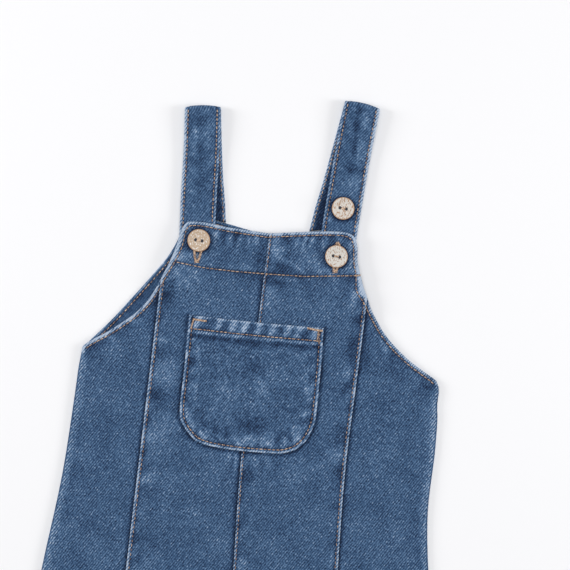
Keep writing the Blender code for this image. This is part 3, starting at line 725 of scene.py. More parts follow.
def painted_button_shadows(x, y, buttons):
    """Painted shadow in a ring round each button, widest below it."""
    rings = 0
    for button in buttons:
        ring, below = (np.hypot(x - button.x, y - button.y + drop) - BUTTON_RADIUS for drop in (0.0, 1.4))
        rings = rings + beyond(ring, 1.2) + 0.5 * beyond(below, 1.8)
    return rings


print(len(BUTTONS), "buttons")

# %% [markdown]
# ## Washed denim
# Denim is a twill: dark warp floats over pale weft, which draws fine diagonal lines that rise to the right.
# Stone-washing mottles it. The pattern could be an image, but a procedural one has no seams and stays
# sharp, so the twill is a sine across the diagonal on the cloth's own grain map, which is in metres.
# The real lines are nearer 1 mm apart. Here they are drawn a little coarser, as finer ones would not show.

# %% Denim material
TWILL_PITCH = 1.78          # millimetres across the lines
TWILL_ANGLE = 56.0          # degrees from the weft
FLOAT_LENGTH = 1.5          # millimetres that a worn or dark stretch of one line runs on
DENIM_TONES = (
    (0.00, "#152138"), (0.20, "#223552"), (0.35, "#304868"), (0.50, "#3E597A"), (0.65, "#526F91"),
    (0.80, "#6F89A9"), (1.00, "#AAB9CD"),
)


def denim(name, base_tone, seed, contrast=1.0):
    """Stone-washed denim. Its tone is the twill, the wash and the painted values added up."""
    made, tree, shader = new_material(name, {
        "Roughness": 0.92, "Specular IOR Level": 0.12, "Sheen Weight": 0.03, "Sheen Roughness": 0.5,
    })
    grain = add(tree, "UVMap", uv_map="grain").outputs["UV"]
    relief, wear, deep = (
        add(tree, "Attribute", attribute_name=key).outputs["Fac"] for key in ("relief", "wear", "deep")
    )

    def total(start, *layers):
        """A start with layers added to it, each a value times its share."""
        for value, share in layers:
            start = add(tree, "Math", {0: value, 1: share, 2: start}, operation="MULTIPLY_ADD").outputs[0]
        return start

    def patches(size, detail):
        """Noise about 0, in patches of that many millimetres."""
        place = add(tree, "Mapping", {"Vector": grain, "Location": (seed, seed, 0)}).outputs[0]
        cloud = add(tree, "TexNoise", {"Vector": place, "Scale": 1 / (size * MM), "Detail": detail})
        return total(-0.5, (cloud.outputs[0], 1.0))

    def in_direction(degrees, pitch):
        """How far along a direction of the grain a point lies, in pitches."""
        angle = math.radians(degrees)
        along_it = (math.cos(angle) / (pitch * MM), math.sin(angle) / (pitch * MM), 0.0)
        return add(tree, "VectorMath", {0: grain, 1: along_it}, operation="DOT_PRODUCT").outputs["Value"]

    across_lines = in_direction(TWILL_ANGLE + 90, TWILL_PITCH)
    phase = total(across_lines, (patches(9.0, 1.0), 0.4), (patches(2.6, 0.0), 0.35))
    twill = add(tree, "Math", {0: total(0.0, (phase, 2 * math.pi))}, operation="SINE").outputs[0]
    floats = add(tree, "CombineXYZ", {"X": phase, "Y": in_direction(TWILL_ANGLE, FLOAT_LENGTH), "Z": seed})
    dashes = add(tree, "TexNoise", {"Vector": floats.outputs[0], "Scale": 1.0, "Detail": 1.0}).outputs[0]
    tone = total(
        base_tone,
        (twill, total(0.17 * contrast, (patches(3.2, 1.0), 0.48 * contrast))),
        (total(-0.5, (dashes, 1.0)), 0.82 * contrast),
        (patches(22.0, 3.0), 0.26), (patches(5.0, 2.0), 0.28), (patches(1.5, 1.0), 0.5 * contrast),
        (relief, 0.19), (wear, total(0.44, (twill, 0.17))), (deep, -0.32),
    )
    tree.links.new(add(tree, "ValToRGB", {"Fac": tone}, stops=DENIM_TONES).outputs["Color"],
                   shader.inputs["Base Color"])
    thread_height = total(twill, (patches(0.7, 1.0), 1.2))
    bump = add(tree, "Bump", {"Height": thread_height, "Strength": 0.35, "Distance": 0.12 * MM})
    tree.links.new(bump.outputs["Normal"], shader.inputs["Normal"])
    return made


body_denim = denim("stone_washed_denim", 0.46, 0.0)
pocket_denim = denim("stone_washed_denim_pocket", 0.46, 0.37)
strap_denim = denim("stone_washed_denim_strap", 0.47, 0.71, 0.85)
# The wrong side is a little darker and duller than the face: partly its own colour, partly painted shade where
# it lies below the front.
back_denim = denim("stone_washed_denim_wrong_side", 0.44, 0.53, 0.55)
print("twill lines every", TWILL_PITCH, "mm")

# %% [markdown]
# ## A cloth shell
# A panel is one closed shell: a fine lattice for its face, one for its wrong side, and an edge that rounds
# over as folded denim does. Solidify and Bevel could make it, but here the lattice also carries the grain map
# and the painted values, and its lines close up beside each row of stitches, where the form is finest.

# %% Lattices
EDGE_LINES = (0.0, 0.12, 0.35, 0.7, 1.1, 1.6, 2.1, 2.6, 3.1, 3.7, 4.5, 5.6, 7.0)


def lattice_lines(length, spacing, near_lines=EDGE_LINES, far_lines=EDGE_LINES):
    """Shares of a length: set distances in from each end, and even steps between them."""
    first = np.array(near_lines) / length
    last = 1 - np.array(far_lines)[::-1] / length
    count = max(1, round((last[0] - first[-1]) * length / spacing))
    return np.concatenate([first, np.linspace(first[-1], last[0], count + 1)[1:-1], last])


def patch(top, bottom, left, right):
    """The flat patch between four edges: u from left to right, v from top to bottom."""
    corners = (left(0.0), right(0.0), left(1.0), right(1.0))

    def place(u, v):
        weights = ((1 - u) * (1 - v), u * (1 - v), (1 - u) * v, u * v)
        edges = (top(u), bottom(u), left(v), right(v))
        shares = (1 - v, v, 1 - u, u)
        return [
            sum(share * edge[axis] for share, edge in zip(shares, edges))
            - sum(weight * corner[axis] for weight, corner in zip(weights, corners))
            for axis in (0, 1)
        ]

    return place


def rounding(depth, radius):
    """0 on the edge, 1 a radius inside it, on a quarter circle."""
    return np.sqrt(1 - (1 - np.clip(depth / radius, 0, 1)) ** 2)


print("a lattice has", len(EDGE_LINES), "lines close to an edge")


# %% Shells
def new_piece(name, points, faces, painted, material):
    """A smooth-shaded piece from points and faces, with painted values on its points."""
    mesh = bpy.data.meshes.new(name)
    mesh.from_pydata(points, [], faces)
    for key, values in painted.items():
        mesh.attributes.new(key, "FLOAT", "POINT").data.foreach_set("value", values.astype(np.float32))
    mesh.materials.append(material)
    mesh.shade_smooth()
    piece = bpy.data.objects.new(name, mesh)
    bpy.context.scene.collection.objects.link(piece)
    return piece


def shell_mesh(name, face, wrong_side, grain, wrong_grain, surface, material, wrong_surface=PLAIN):
    """A closed mesh from two lattices of points that share their outer edge."""
    rows, columns = face.shape[:2]
    index = np.arange(rows * columns).reshape(rows, columns)
    inner = np.full((rows, columns), -1)
    inner[1:-1, 1:-1] = np.arange((rows - 2) * (columns - 2)).reshape(rows - 2, -1) + rows * columns
    inner[inner < 0] = index[inner < 0]

    def quads(numbers):
        return np.stack([numbers[1:, :-1], numbers[1:, 1:], numbers[:-1, 1:], numbers[:-1, :-1]], axis=-1)

    faces = np.concatenate([quads(index).reshape(-1, 4), quads(inner)[..., ::-1].reshape(-1, 4)])
    points = np.concatenate([face.reshape(-1, 3), wrong_side[1:-1, 1:-1].reshape(-1, 3)])
    painted = {}
    for key in ("relief", "wear", "deep"):
        on_face, on_wrong_side = (
            np.broadcast_to(getattr(values, key), (rows, columns)) for values in (surface, wrong_surface)
        )
        painted[key] = np.concatenate([on_face.ravel(), on_wrong_side[1:-1, 1:-1].ravel()])
    piece = new_piece(name, points, faces.tolist(), painted, material)
    maps = np.concatenate([grain.reshape(-1, 2), wrong_grain.reshape(-1, 2)])
    on_wrong_map = quads(index)[..., ::-1].reshape(-1) + rows * columns
    corners = np.concatenate([maps[quads(index).reshape(-1)], maps[on_wrong_map]])
    piece.data.uv_layers.new(name="grain").data.foreach_set("uv", corners.ravel().astype(np.float32))
    return piece


def laid_shell(name, edges, columns, rows, under, over, paint, material):
    """A shell on a flat patch between two heights."""
    place = patch(*edges)
    u, v = np.meshgrid(columns, rows)
    x, y = place(u, v)
    top, bottom, left, right = edges
    reach = [np.hypot(x - edge[0], y - edge[1]) for edge in (top(u), bottom(u), left(v), right(v))]
    depth = np.min(reach, axis=0)
    low, high = under(x, y), over(x, y)
    middle, half = (high + low) / 2, (high - low) / 2
    round_in = rounding(depth, half)
    surface = paint(x, y)
    face = metres(x, y, middle + half * round_in + surface.height * rounding(depth, 2 * half))
    wrong_side = metres(x, y, middle - half * round_in)
    grain = np.stack([x, y], axis=-1) * MM
    piece = shell_mesh(name, face, wrong_side, grain, grain, surface, material)
    print(name, len(piece.data.polygons), "faces")
    return piece


print("shells are ready to lay")

# %% Where two panels meet
SEAM_GAP = 0.06             # sewn panels nearly touch


def half_edges(side, top_edge, outer_x):
    """The four edges of a panel between its outer edge and the middle."""
    left_half = side < 0

    def middle_x(y):
        return np.where(y > CROTCH, centre_seam(y), inseam[side](y)) + side * SEAM_GAP / 2

    outer = falling(outer_x, float(top_edge(0 if left_half else 1)[1]), HEM)
    middle = falling(middle_x, float(top_edge(1 if left_half else 0)[1]), HEM)
    left, right = (outer, middle) if left_half else (middle, outer)
    top = moved_end(top_edge, 1 if left_half else 0, middle(0)[0])
    return top, straight(left(1), right(1)), left, right


print("panels meet", SEAM_GAP, "mm apart")

# %% [markdown]
# ## Back panels
# The wrong side of the back shows in the left armhole, above the bib and in a sliver down each side. Its neck
# and armholes are turned in and stitched. Its underside lies on the table and stays flat.

# %% Back
BACK_WIDE, BACK_STEP = 140.0, 5.0
BACK_ROWS = lattice_lines(-HEM, BACK_STEP, EDGE_LINES[::2], EDGE_LINES[:4:2])
back_arm = {side: down(armhole[side], BACK_NECK[side][0 if side < 0 else -1].y, UNDERARM) for side in SIDES}
back_neck = {side: curve(BACK_NECK[side]) for side in SIDES}
back_rows = {side: {"armhole": beside(back_arm[side], -side * EDGE_STITCH),
                    "neck": beside(back_neck[side], -EDGE_STITCH)} for side in SIDES}


def back_paint(side):
    """The back's wrong side: two rows, two softly worn edges and the broad lie."""
    rows = (Row(back_rows[side]["armhole"], 2.0 + side, 6.0, 8.0, 0.5),
            Row(back_rows[side]["neck"], 6.0 + side, 6.0, 8.0, 0.5))
    edges = (Worn(back_arm[side], 1.4, 0.5, 1.0), Worn(back_neck[side], 1.2, 0.35, 4.0))

    def paint(x, y):
        total = combined(edged(x, y, rows, edges), all_over(x, y, 3.0 + side))
        return total._replace(height=np.minimum(total.height, 0.1))

    return paint


def make_back(side):
    """A back panel: from the neck and armhole down to the hem, flat on the table."""
    def outer_x(y):
        shows = BACK_SHOWS * soft_step(-UNDERARM, -UNDERARM + 18, -y)
        return np.where(y > UNDERARM, armhole[side](y), outline[side](y) + side * shows)

    columns = lattice_lines(BACK_WIDE, BACK_STEP, EDGE_LINES[::2], EDGE_LINES[::2])
    edges = half_edges(side, along(BACK_NECK[side]), outer_x)
    return laid_shell("back_cloth_" + SIDES[side], edges, columns, BACK_ROWS, lambda x, y: 0 * x,
                      lambda x, y: 0 * x + LAYER, back_paint(side), back_denim)


back_cloth = {side: make_back(side) for side in SIDES}

# %% [markdown]
# ## Front panels
# The centre panels fold under along the side-front seams and ride a little proud of the side panels, and shade
# is painted in the step beside each seam. Where the bib's facing is turned in the cloth is double.

# %% Front
FACING_LINES = tuple(FACING_DEPTH + step for step in (-3.0, -2.0, -1.2, -0.5, 0.2, 0.9, 1.6, 2.6, 4.0))
BODY_STEP, LEG_STEP, LEGS_BELOW = 1.6, 3.2, 240.0
SEAM_SHADE, CENTRE_SHADE, POCKET_SHADE = 1.25, 1.3, 1.6


def centre_rows():
    """Row depths below the bib's top: fine at the bib and the hem, coarser on the legs."""
    upper = lattice_lines(FACING_LINES[0], BODY_STEP, far_lines=(0.0,)) * FACING_LINES[0]
    body = np.arange(FACING_LINES[-1] + BODY_STEP, LEGS_BELOW, BODY_STEP)
    legs = np.arange(LEGS_BELOW + 2.5, -HEM - HEM_STITCH - 4, LEG_STEP)
    above_hem = np.array([3.0, 1.5, 0.6, 0.0, -0.6, -1.5, -3.0, -6.0, -10.0, -14.0, -17.5, -18.6])
    rows = np.concatenate([upper, FACING_LINES[1:], body, legs, -above_hem - HEM - HEM_STITCH, [-HEM]])
    return np.unique(rows) / -HEM


def roped_hem(x, y):
    """A leg's hem: its turned layers creep apart in the wash and draw it into slanted pale ropes."""
    above = y - HEM
    on_hem = 1 - soft_step(HEM_STITCH - 1.0, HEM_STITCH + 1.0, above)
    ropes = ripple(x + 0.6 * above, above * 0.15, 6.0, 55.0) * on_hem
    return Surface(0.2 * ropes, 1.3 * ropes, 0, 0)


PAST_LEGS = 165.0           # a hem's lines run on past both legs
hem_row, hem_fold = (bar((-PAST_LEGS, HEM + rise), (PAST_LEGS, HEM + rise)) for rise in (HEM_STITCH, 0.0))
print("leg hems are", HEM_STITCH, "mm deep")


# %% What the fronts wear
def shared_front_paint(x, y):
    """What all front panels share: the edge row, the worn edge, the hem, the marks and the broad lie."""
    rows = (Row(bib_row, 11.0, 7.0, 8.0, 0.9), Row(hem_row, 13.0, 10.0, 11.0, 0.9))
    edges = (Worn(hem_fold, 1.1, 0.9, 57.0), Worn(bib_edge, 1.5, 0.9, 2.0, 0.25))
    shade = Surface(0, 0, 0, painted_button_shadows(x, y, BUTTONS[:2]))
    sewing = edged(x, y, rows, edges)
    return combined(roped_hem(x, y), sewing, marked(WASH_AND_SHADE_MARKS, x, y), shade, all_over(x, y, 0.0))


def centre_paint(side):
    """A centre panel: the facing's row, the side-front and centre seams, and the shade at its folds."""
    rows = [Row(facing, 17.0, 5.0, 9.0, 0.7), Row(side_rows[side], 19.0 + side, 8.0, 12.0, 0.7)]
    edges = [Worn(side_lines[side], 1.3, 1.05, 21.0 + side, 0.4), Worn(bib_side[side], 3.9, 0.65, 33.0, 0.3),
             Worn(bib_top, 1.2, 0.4, 35.0, 0.8)]
    if side > 0:
        rows.append(Row(centre_row, 23.0, 8.0, 12.0, 0.8))
        edges.append(Worn(centre_line, 0.9, 0.95, 25.0))

    def paint(x, y):
        total = combined(
            shared_front_paint(x, y), edged(x, y, rows, edges),
            beside_fold(x, y, pocket_edge, -1, 1.8, POCKET_SHADE),
        )
        if side > 0:
            return total
        below_facing = 0.25 + 0.75 * soft_step(FACING_DEPTH - 3, FACING_DEPTH + 6, -y)
        shade = beside_fold(x, y, centre_line, -1, 2.5, CENTRE_SHADE)
        return total._replace(deep=total.deep + shade.deep * below_facing)

    return paint


def side_paint(side):
    """A side panel: its outer edge, its armhole and the painted shade in the step under the centre panel's
    fold.
    """
    side_edge = down(outline[side], UNDERARM, HEM)
    edges = (Worn(beside(side_edge, side * -3.0), 1.2, 0.25, 27.0), Worn(side_edge, 1.0, 0.3, 29.0),
             Worn(front_arm[side], 2.0, {-1: 0.55, 1: -0.15}[side], 31.0, 0.5))

    def paint(x, y):
        shade = beside_fold(x, y, side_lines[side], side, 2.0, SEAM_SHADE)
        return combined(shared_front_paint(x, y), shade, edged(x, y, (), edges))

    return paint


print("stitched, worn and shaded")


# %% Front shells
CENTRE_WIDE, CENTRE_STEP = 86.0, 1.7
SIDE_WIDE, SIDE_STEP = 62.0, 1.9
CHEST_DEPTH = 200.0         # down to here a side panel has rows of its own


def make_front_centre(side):
    """A front centre panel: from the bib's top down into the leg."""
    def outer_x(y):
        return np.where(y > SEAM_TOPS[side], outline[side](y), side_seam[side](y) - side * SEAM_GAP / 2)

    columns = lattice_lines(CENTRE_WIDE, CENTRE_STEP)
    edges = half_edges(side, along(BIB_TOP[side]), outer_x)
    return laid_shell("front_cloth_" + SIDES[side], edges, columns, centre_rows(), front_under,
                      centre_over(side), centre_paint(side), body_denim)


def make_front_side(side):
    """A front side panel: from the armhole down into the leg."""
    start = SEAM_TOPS[side] - 2 * GAP
    inner = falling(lambda y: side_seam[side](y) + side * SEAM_GAP / 2, start, HEM)
    outer = falling(outline[side], UNDERARM, HEM)
    arm = moved_end(falling(outline[side], start, UNDERARM), 0, inner(0)[0])
    upper = lattice_lines(CHEST_DEPTH, SIDE_STEP, far_lines=(0.0,)) * CHEST_DEPTH
    lower = centre_rows() * -HEM + start
    rows = np.concatenate([upper[:-1], lower[lower > CHEST_DEPTH]]) / (-HEM + start)
    if side < 0:
        edges = (lambda t: arm(1 - t), straight(outer(1), inner(1)), outer, inner)
    else:
        edges = (arm, straight(inner(1), outer(1)), inner, outer)
    columns = lattice_lines(SIDE_WIDE, SIDE_STEP)
    return laid_shell("side_cloth_" + SIDES[side], edges, columns, rows, front_under, side_over,
                      side_paint(side), body_denim)


centre_cloth = {side: make_front_centre(side) for side in SIDES}
side_cloth = {side: make_front_side(side) for side in SIDES}

# %% [markdown]
# ## Patch pocket
# The pocket is sewn on over three sides. Its hem is turned twice, so it stands proud and has shrunk into
# short slanted puckers that washed pale, with a hollow under the hem's stitching that is painted with shade.

# %% Pocket
HEM_SLANT = 0.3             # how far a pucker leans along the mouth as it goes up
CREST_WIDTH, LIP_WIDTH, HOLLOW_WIDTH = 3.2, 1.2, 2.0
LIP_BELOW, HOLLOW_BELOW = 2.0, 5.0          # below the hem's row
POCKET_WIDE, POCKET_DEEP, POCKET_STEP = 108.0, 104.0, 1.2


def pocket_paint(x, y):
    """The pocket: slanted pale puckers in its hem, a worn lip and a hollow painted with shade below them, and
    its rows.
    """
    depth = POCKET_MOUTH[1].y - y
    on_hem = 1 - soft_step(POCKET_HEM - 1.5, POCKET_HEM + 0.5, depth)
    leaning = x - (POCKET_HEM / 2 - depth) * HEM_SLANT
    crests = sum(bump_at(leaning - crest, CREST_WIDTH) for crest in HEM_CRESTS) * 2.6 - 1.05
    crests = crests + 0.3 * ripple(leaning, depth, 4.0, 41.0)
    lip = bump_at(depth - POCKET_HEM - LIP_BELOW, LIP_WIDTH)
    hollow = bump_at(depth - POCKET_HEM - HOLLOW_BELOW, HOLLOW_WIDTH)
    hollow = hollow * (0.55 + 0.5 * ripple(leaning, depth * 0, 5.0, 42.0))
    height = 0.2 * crests * on_hem + 0.18 * lip - 0.15 * hollow
    # The hollow is painted with shade as well as sunk.
    puckers = Surface(height, crests * on_hem, 0.05 * on_hem + 0.5 * lip, 0.8 * hollow)
    rows = (Row(pocket_row, 43.0, 6.0, 7.0, 0.9), Row(pocket_hem_row, 45.0, 3.0, 7.0, 0.4))
    edges = (Worn(pocket_edge, 0.9, 0.9, 47.0, 0.75), Worn(pocket_mouth, 0.7, 0.6, 49.0))
    return combined(puckers, edged(x, y, rows, edges), marked(POCKET_MARKS, x, y), all_over(x, y, 50.0))


pocket_left = falling(pocket_side[-1], POCKET_SIDES[0].y, POCKET_SIDES[-1].y)
pocket_right = falling(pocket_side[1], POCKET_SIDES[0].y, POCKET_SIDES[-1].y)
HEM_LINES = tuple(POCKET_HEM + step for step in (-1.6, -0.8, 0.0, 0.8, 1.5, 2.2, 3.0, 4.0, 5.5))
below_hem = POCKET_DEEP - HEM_LINES[-1]
pocket_rows = np.concatenate([
    lattice_lines(HEM_LINES[0], 0.9, far_lines=(0.0,)) * HEM_LINES[0], HEM_LINES[1:],
    HEM_LINES[-1] + below_hem * lattice_lines(below_hem, POCKET_STEP, (1.0,)),
]) / POCKET_DEEP
pocket_cloth = laid_shell(
    "pocket_cloth", (along(POCKET_MOUTH), along(POCKET_BOTTOM), pocket_left, pocket_right),
    lattice_lines(POCKET_WIDE, POCKET_STEP), pocket_rows, pocket_under, pocket_over, pocket_paint,
    pocket_denim,
)

# %% [markdown]
# ## Straps
# Each strap is a doubled band. It leaves the back neckline, lies flat, folds at the shoulder and comes down
# in front, and its end is buttoned behind the bib. The two edges are stitched, and the wash has whitened the
# outer one most. Stations along the band's middle line carry the shell round the fold.

# %% A strap's stations
FOLD_RADIUS, FOLD_ARCH, FOLD_TURNS = 0.9, 1.5, 12       # inside the fold, its bulge, and its stations
FOLD_FLAT, FOLD_EASE = 4.0, 45.0                        # past the fold, between these the band settles
STRAP_STEP = 1.3
STRAP_STITCH = 2.7
NECK_EASE = 14.0            # over this the band turns from the neckline's line into its own
Slit = namedtuple("Slit", "x y length width")
SLITS = {-1: Slit(-55.5, -16.2, 21.0, 3.4), 1: Slit(55.1, -13.6, 21.0, 2.7)}      # the shanks hold them open
Stations = namedtuple("Stations", "middle sideways outward arch length")


def run_along(points, step):
    """Evenly spaced places and directions on a smooth run through points."""
    line = curve(points)
    count = max(2, round(line.lengths[-1] / step))
    places = read_at(np.linspace(0, line.lengths[-1], count + 1), line.lengths, line.points)
    wide = np.stack([np.convolve(np.pad(axis, 4, mode="reflect", reflect_type="odd"), np.ones(9) / 9, "valid")
                     for axis in places.T], axis=-1)
    return places, unit(np.gradient(wide, axis=0))


def strap_stations(way):
    """Stations along a strap: the back run, the turns of the fold, and the front run."""
    points = [np.array(point, float) for point in way]
    base_left, base_right, back_middle, fold, front_upper, front_lower, front_end = points
    outward = unit(unit(fold - back_middle) - unit(front_upper - fold))
    turn = fold - outward * (FOLD_RADIUS + STRAP_WALL)
    base = (base_left + base_right) / 2 + np.array([0, GAP])
    rows = []
    places, ahead = run_along((base, back_middle, turn), STRAP_STEP)
    sewn_way = unit(base_right - base_left)
    for n, (place, way_on) in enumerate(zip(places, ahead)):
        blend = max(0.0, 1 - n * STRAP_STEP / NECK_EASE)
        across = np.array([way_on[1], -way_on[0]]) * (1 - blend) + sewn_way * blend
        rows.append(((*place, STRAP_WALL / 2), (*across, 0), (0, 0, -1), 0.0))
    radius = FOLD_RADIUS + STRAP_WALL / 2
    for n in range(1, FOLD_TURNS):
        angle = math.pi * (n / FOLD_TURNS - 0.5)
        ray = (*outward * math.cos(angle), math.sin(angle))
        place = turn + outward * radius * math.cos(angle)
        height = STRAP_WALL + FOLD_RADIUS + radius * math.sin(angle)
        rows.append(((*place, height), (outward[1], -outward[0], 0), ray, math.cos(angle)))
    places, ahead = run_along((turn, front_upper, front_lower, front_end), STRAP_STEP)
    for n, (place, way_on) in enumerate(zip(places, ahead)):
        settled = soft_step(FOLD_FLAT, FOLD_EASE, n * STRAP_STEP)
        height = STRAP_WALL * 1.5 + 2 * FOLD_RADIUS + (GAP - 2 * FOLD_RADIUS) * settled
        rows.append(((*place, height), (-way_on[1], way_on[0], 0), (0, 0, 1), 0.0))
    middle, sideways, ray, arch = (np.array(values, float) for values in zip(*rows))
    bulge = arch[:, None] * FOLD_ARCH * np.array([*outward, 0])
    return Stations(middle, sideways, ray, bulge, run_lengths(middle))


print("a strap has a station every", STRAP_STEP, "mm")

# %% Strap shells
STRAP_COLUMNS = lattice_lines(STRAP_WIDTH, STRAP_STEP, EDGE_LINES[:11], EDGE_LINES[:11])
PUCKER_REACH, LADDER_REACH = 4.5, 8.0       # of the rows' puckers, and of the ripples down the middle
BAND_FROM, BAND_WIDTH = 1.2, 1.6            # the whitened band along a strap's outer edge
WORN_PAST_FOLD = 50.0                       # how far past the fold that band stays whitest


def strap_points(stations, across, face, height=0.0):
    """Points on the strap's outer (face 1) or inner (face -1) side, by rows and millimetres across."""
    share = 2 * across / STRAP_WIDTH - 1
    ends = np.minimum(stations.length, stations.length[-1] - stations.length)[:, None]
    rim = np.minimum(np.minimum(across, STRAP_WIDTH - across), ends)
    half = STRAP_WALL / 2 * rounding(rim, STRAP_WALL / 2)
    rise = (face * half + height)[..., None]
    return (stations.middle[:, None] + stations.sideways[:, None] * (share * STRAP_WIDTH / 2)[..., None]
            + stations.arch[:, None] * (1 - share ** 2)[..., None] + stations.outward[:, None] * rise)


def in_metres(points):
    """Pattern places, with x, y and z on the last axis, in metres."""
    return metres(*np.moveaxis(points, -1, 0))


def strap_surface(side, stations, across, length, fold_at, front_run):
    """What sewing and washing do to a strap, with painted shade in its stitch grooves, round its button and
    under the front run.
    """
    middle_x, middle_y = np.moveaxis(strap_points(stations, across, 1), -1, 0)[:2]
    seed = 60.0 + side
    outer_side = across if side < 0 else STRAP_WIDTH - across
    rim = np.minimum(across, STRAP_WIDTH - across)
    waves = ripple(length, across * 0.3, 8.0, seed) * bump_at(rim - STRAP_STITCH, PUCKER_REACH)
    ladder = ripple(length, across, 9.0, seed + 4) * bump_at(across - STRAP_WIDTH / 2, LADDER_REACH)
    uneven = 0.8 + 0.4 * ripple(length, across * 0, 6.0, seed + 6)
    band = beyond(outer_side - BAND_FROM, BAND_WIDTH)
    band = band * (0.55 + 0.65 * bump_at(length - fold_at - 10, WORN_PAST_FOLD))
    # Across the fold's crest the strap is pale partly from wear, partly as a painted highlight, as the fold
    # turns away from the lamps.
    worn = beyond(rim - ROUNDED, 0.8) * 0.6 + band + 0.35 * bump_at(length - fold_at, 2.0)
    # Each row lies in a groove, painted with shade as well as sunk.
    groove = bump_at(rim - STRAP_STITCH, 0.9)
    blotches = 1.6 * marks_at(STRAP_MARKS, middle_x, middle_y) * front_run + 0.4 * ladder
    slit = SLITS[side]      # through its lower end the strap shows worn
    in_slit = 1.5 * bump_at(np.hypot(middle_x - slit.x, middle_y - slit.y + 7.5), 2.2) * front_run
    # Painted shadow round the strap's button, widest below it.
    button_painted_shadow = painted_button_shadows(middle_x, middle_y, BUTTONS[2:]) if side > 0 else 0
    height = 0.16 * waves + 0.1 * ladder - 0.25 * groove
    # The back run's upper side is painted dark in from its edges: painted shade under the front run.
    behind = Surface(0, 0.4 * waves, 0.55 * beyond(rim - ROUNDED, 0.8), 1.25 * soft_step(1.2, 5.0, rim))
    face = Surface(height, 0.8 * waves + blotches, worn * uneven + in_slit, 0.95 * groove + button_painted_shadow)
    return face, behind, height * rounding(rim, STRAP_WALL)


def make_strap(side):
    """A strap's shell, with its stations for the sewing."""
    stations = strap_stations(STRAPS[side])
    across, length = np.meshgrid(STRAP_COLUMNS * STRAP_WIDTH, stations.length)
    fold_at = stations.length[np.argmax(np.abs(stations.outward[:, :2]).sum(axis=1))]
    front_run = soft_step(fold_at - 6, fold_at + 2, length)
    surface, behind, height = strap_surface(side, stations, across, length, fold_at, front_run)
    off_table = np.clip(stations.outward[:, 2:] + 1, 0, 1)
    face = strap_points(stations, across, 1, height * front_run * off_table)
    inner = strap_points(stations, across, -1, -height * (1 - front_run))
    grain, wrong_grain = (np.stack([turn * across, -length], axis=-1) * MM for turn in (1, -1))
    piece = shell_mesh("strap_cloth_" + SIDES[side], in_metres(face), in_metres(inner), grain, wrong_grain,
                       surface, strap_denim, behind)
    print(piece.name, len(piece.data.polygons), "faces,", round(stations.length[-1]), "mm long")
    return piece, stations


straps = {side: make_strap(side) for side in SIDES}

# %% [markdown]
# ## Thread
# The rows are lockstitched with thick spun polyester in tan. Each stitch is a short plump strand that dives
# into the cloth at both ends. One function sweeps a six-sided tube along many short paths at once, and joins
# them in one mesh, so a whole row is one piece.

# %% Thread
TUBE_SIDES = 6
Profile = namedtuple("Profile", "along lift girth")
STITCH = Profile(
    np.array([-0.5, -0.36, 0.0, 0.36, 0.5]), np.array([-0.6, 0.05, 0.35, 0.05, -0.6]),
    np.array([0.45, 0.9, 1.0, 0.9, 0.45]),
)
THREAD_TONES = ((0.0, "#2E2A36"), (0.3, "#96755F"), (0.62, "#C8A98E"), (1.0, "#E4CDB6"))


def strands(name, paths, ups, thickness, girth, shade=0.0):
    """Tubes through paths (an array of path, point and axis, in metres), joined in one piece."""
    count, points = paths.shape[:2]
    side = unit(np.cross(ups, paths[:, -1] - paths[:, 0]))[:, None]
    upward = np.cross(unit(np.gradient(paths, axis=1)), side)
    turns = (np.arange(TUBE_SIDES) * 2 * math.pi / TUBE_SIDES)[:, None]
    ring = side[:, :, None] * np.cos(turns) + upward[:, :, None] * np.sin(turns)
    radius = thickness * MM / 2 * np.asarray(girth)[:, None, None]
    verts = (paths[:, :, None] + ring * radius).reshape(-1, 3)
    index = np.arange(count * points * TUBE_SIDES).reshape(count, points, TUBE_SIDES)
    after = np.roll(index, -1, axis=2)
    walls = np.stack([index[:, :-1], after[:, :-1], after[:, 1:], index[:, 1:]], axis=-1).reshape(-1, 4)
    caps = np.concatenate([index[:, 0, ::-1], index[:, -1]])
    shades = shade + np.random.default_rng(len(name) * 7 + count).uniform(-1, 1, count)
    # sunk is painted shade at each stitch's thin ends, where it enters the cloth.
    painted = {"tone": np.repeat(shades, points * TUBE_SIDES),
               "sunk": np.tile(np.repeat(1 - np.asarray(girth) ** 2, TUBE_SIDES), count)}
    piece = new_piece(name, verts, walls.tolist() + caps.tolist(), painted, thread)
    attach(piece, "root")
    return piece


def thread_material():
    """Spun polyester: matt and fuzzy, with painted shade where a stitch enters the cloth."""
    made, tree, shader = new_material("tan_spun_polyester_thread", {"Roughness": 0.75, "Sheen Weight": 0.1})
    place = add(tree, "TexCoord").outputs["Object"]
    fuzz = add(tree, "TexNoise", {"Vector": place, "Scale": 1 / (1.1 * MM), "Detail": 1.0}).outputs[0]
    mixed = add(tree, "Math", {0: fuzz, 1: 2.0, 2: -0.5}, operation="MULTIPLY_ADD").outputs[0]
    for key, share in (("tone", 0.2), ("sunk", -0.45)):
        painted = add(tree, "Attribute", attribute_name=key).outputs["Fac"]
        mixed = add(tree, "Math", {0: painted, 1: share, 2: mixed}, operation="MULTIPLY_ADD").outputs[0]
    tree.links.new(add(tree, "ValToRGB", {"Fac": mixed}, stops=THREAD_TONES).outputs["Color"],
                   shader.inputs["Base Color"])
    bump = add(tree, "Bump", {"Height": fuzz, "Strength": 0.4, "Distance": 0.1 * MM})
    tree.links.new(bump.outputs["Normal"], shader.inputs["Normal"])
    return made


thread = thread_material()
print("a strand has", TUBE_SIDES, "sides")

# %% [markdown]
# ## Rows on the flat cloth
# A ray dropped from above finds the cloth under each needle hole, so the stitches lie in their own dips and
# climb over the seams as real ones do.

# %% Laying a row
scene_graph = bpy.context.evaluated_depsgraph_get()


def trees_of(*pieces):
    """A tree of each piece's faces, for rays."""
    return [BVHTree.FromObject(piece, scene_graph) for piece in pieces]


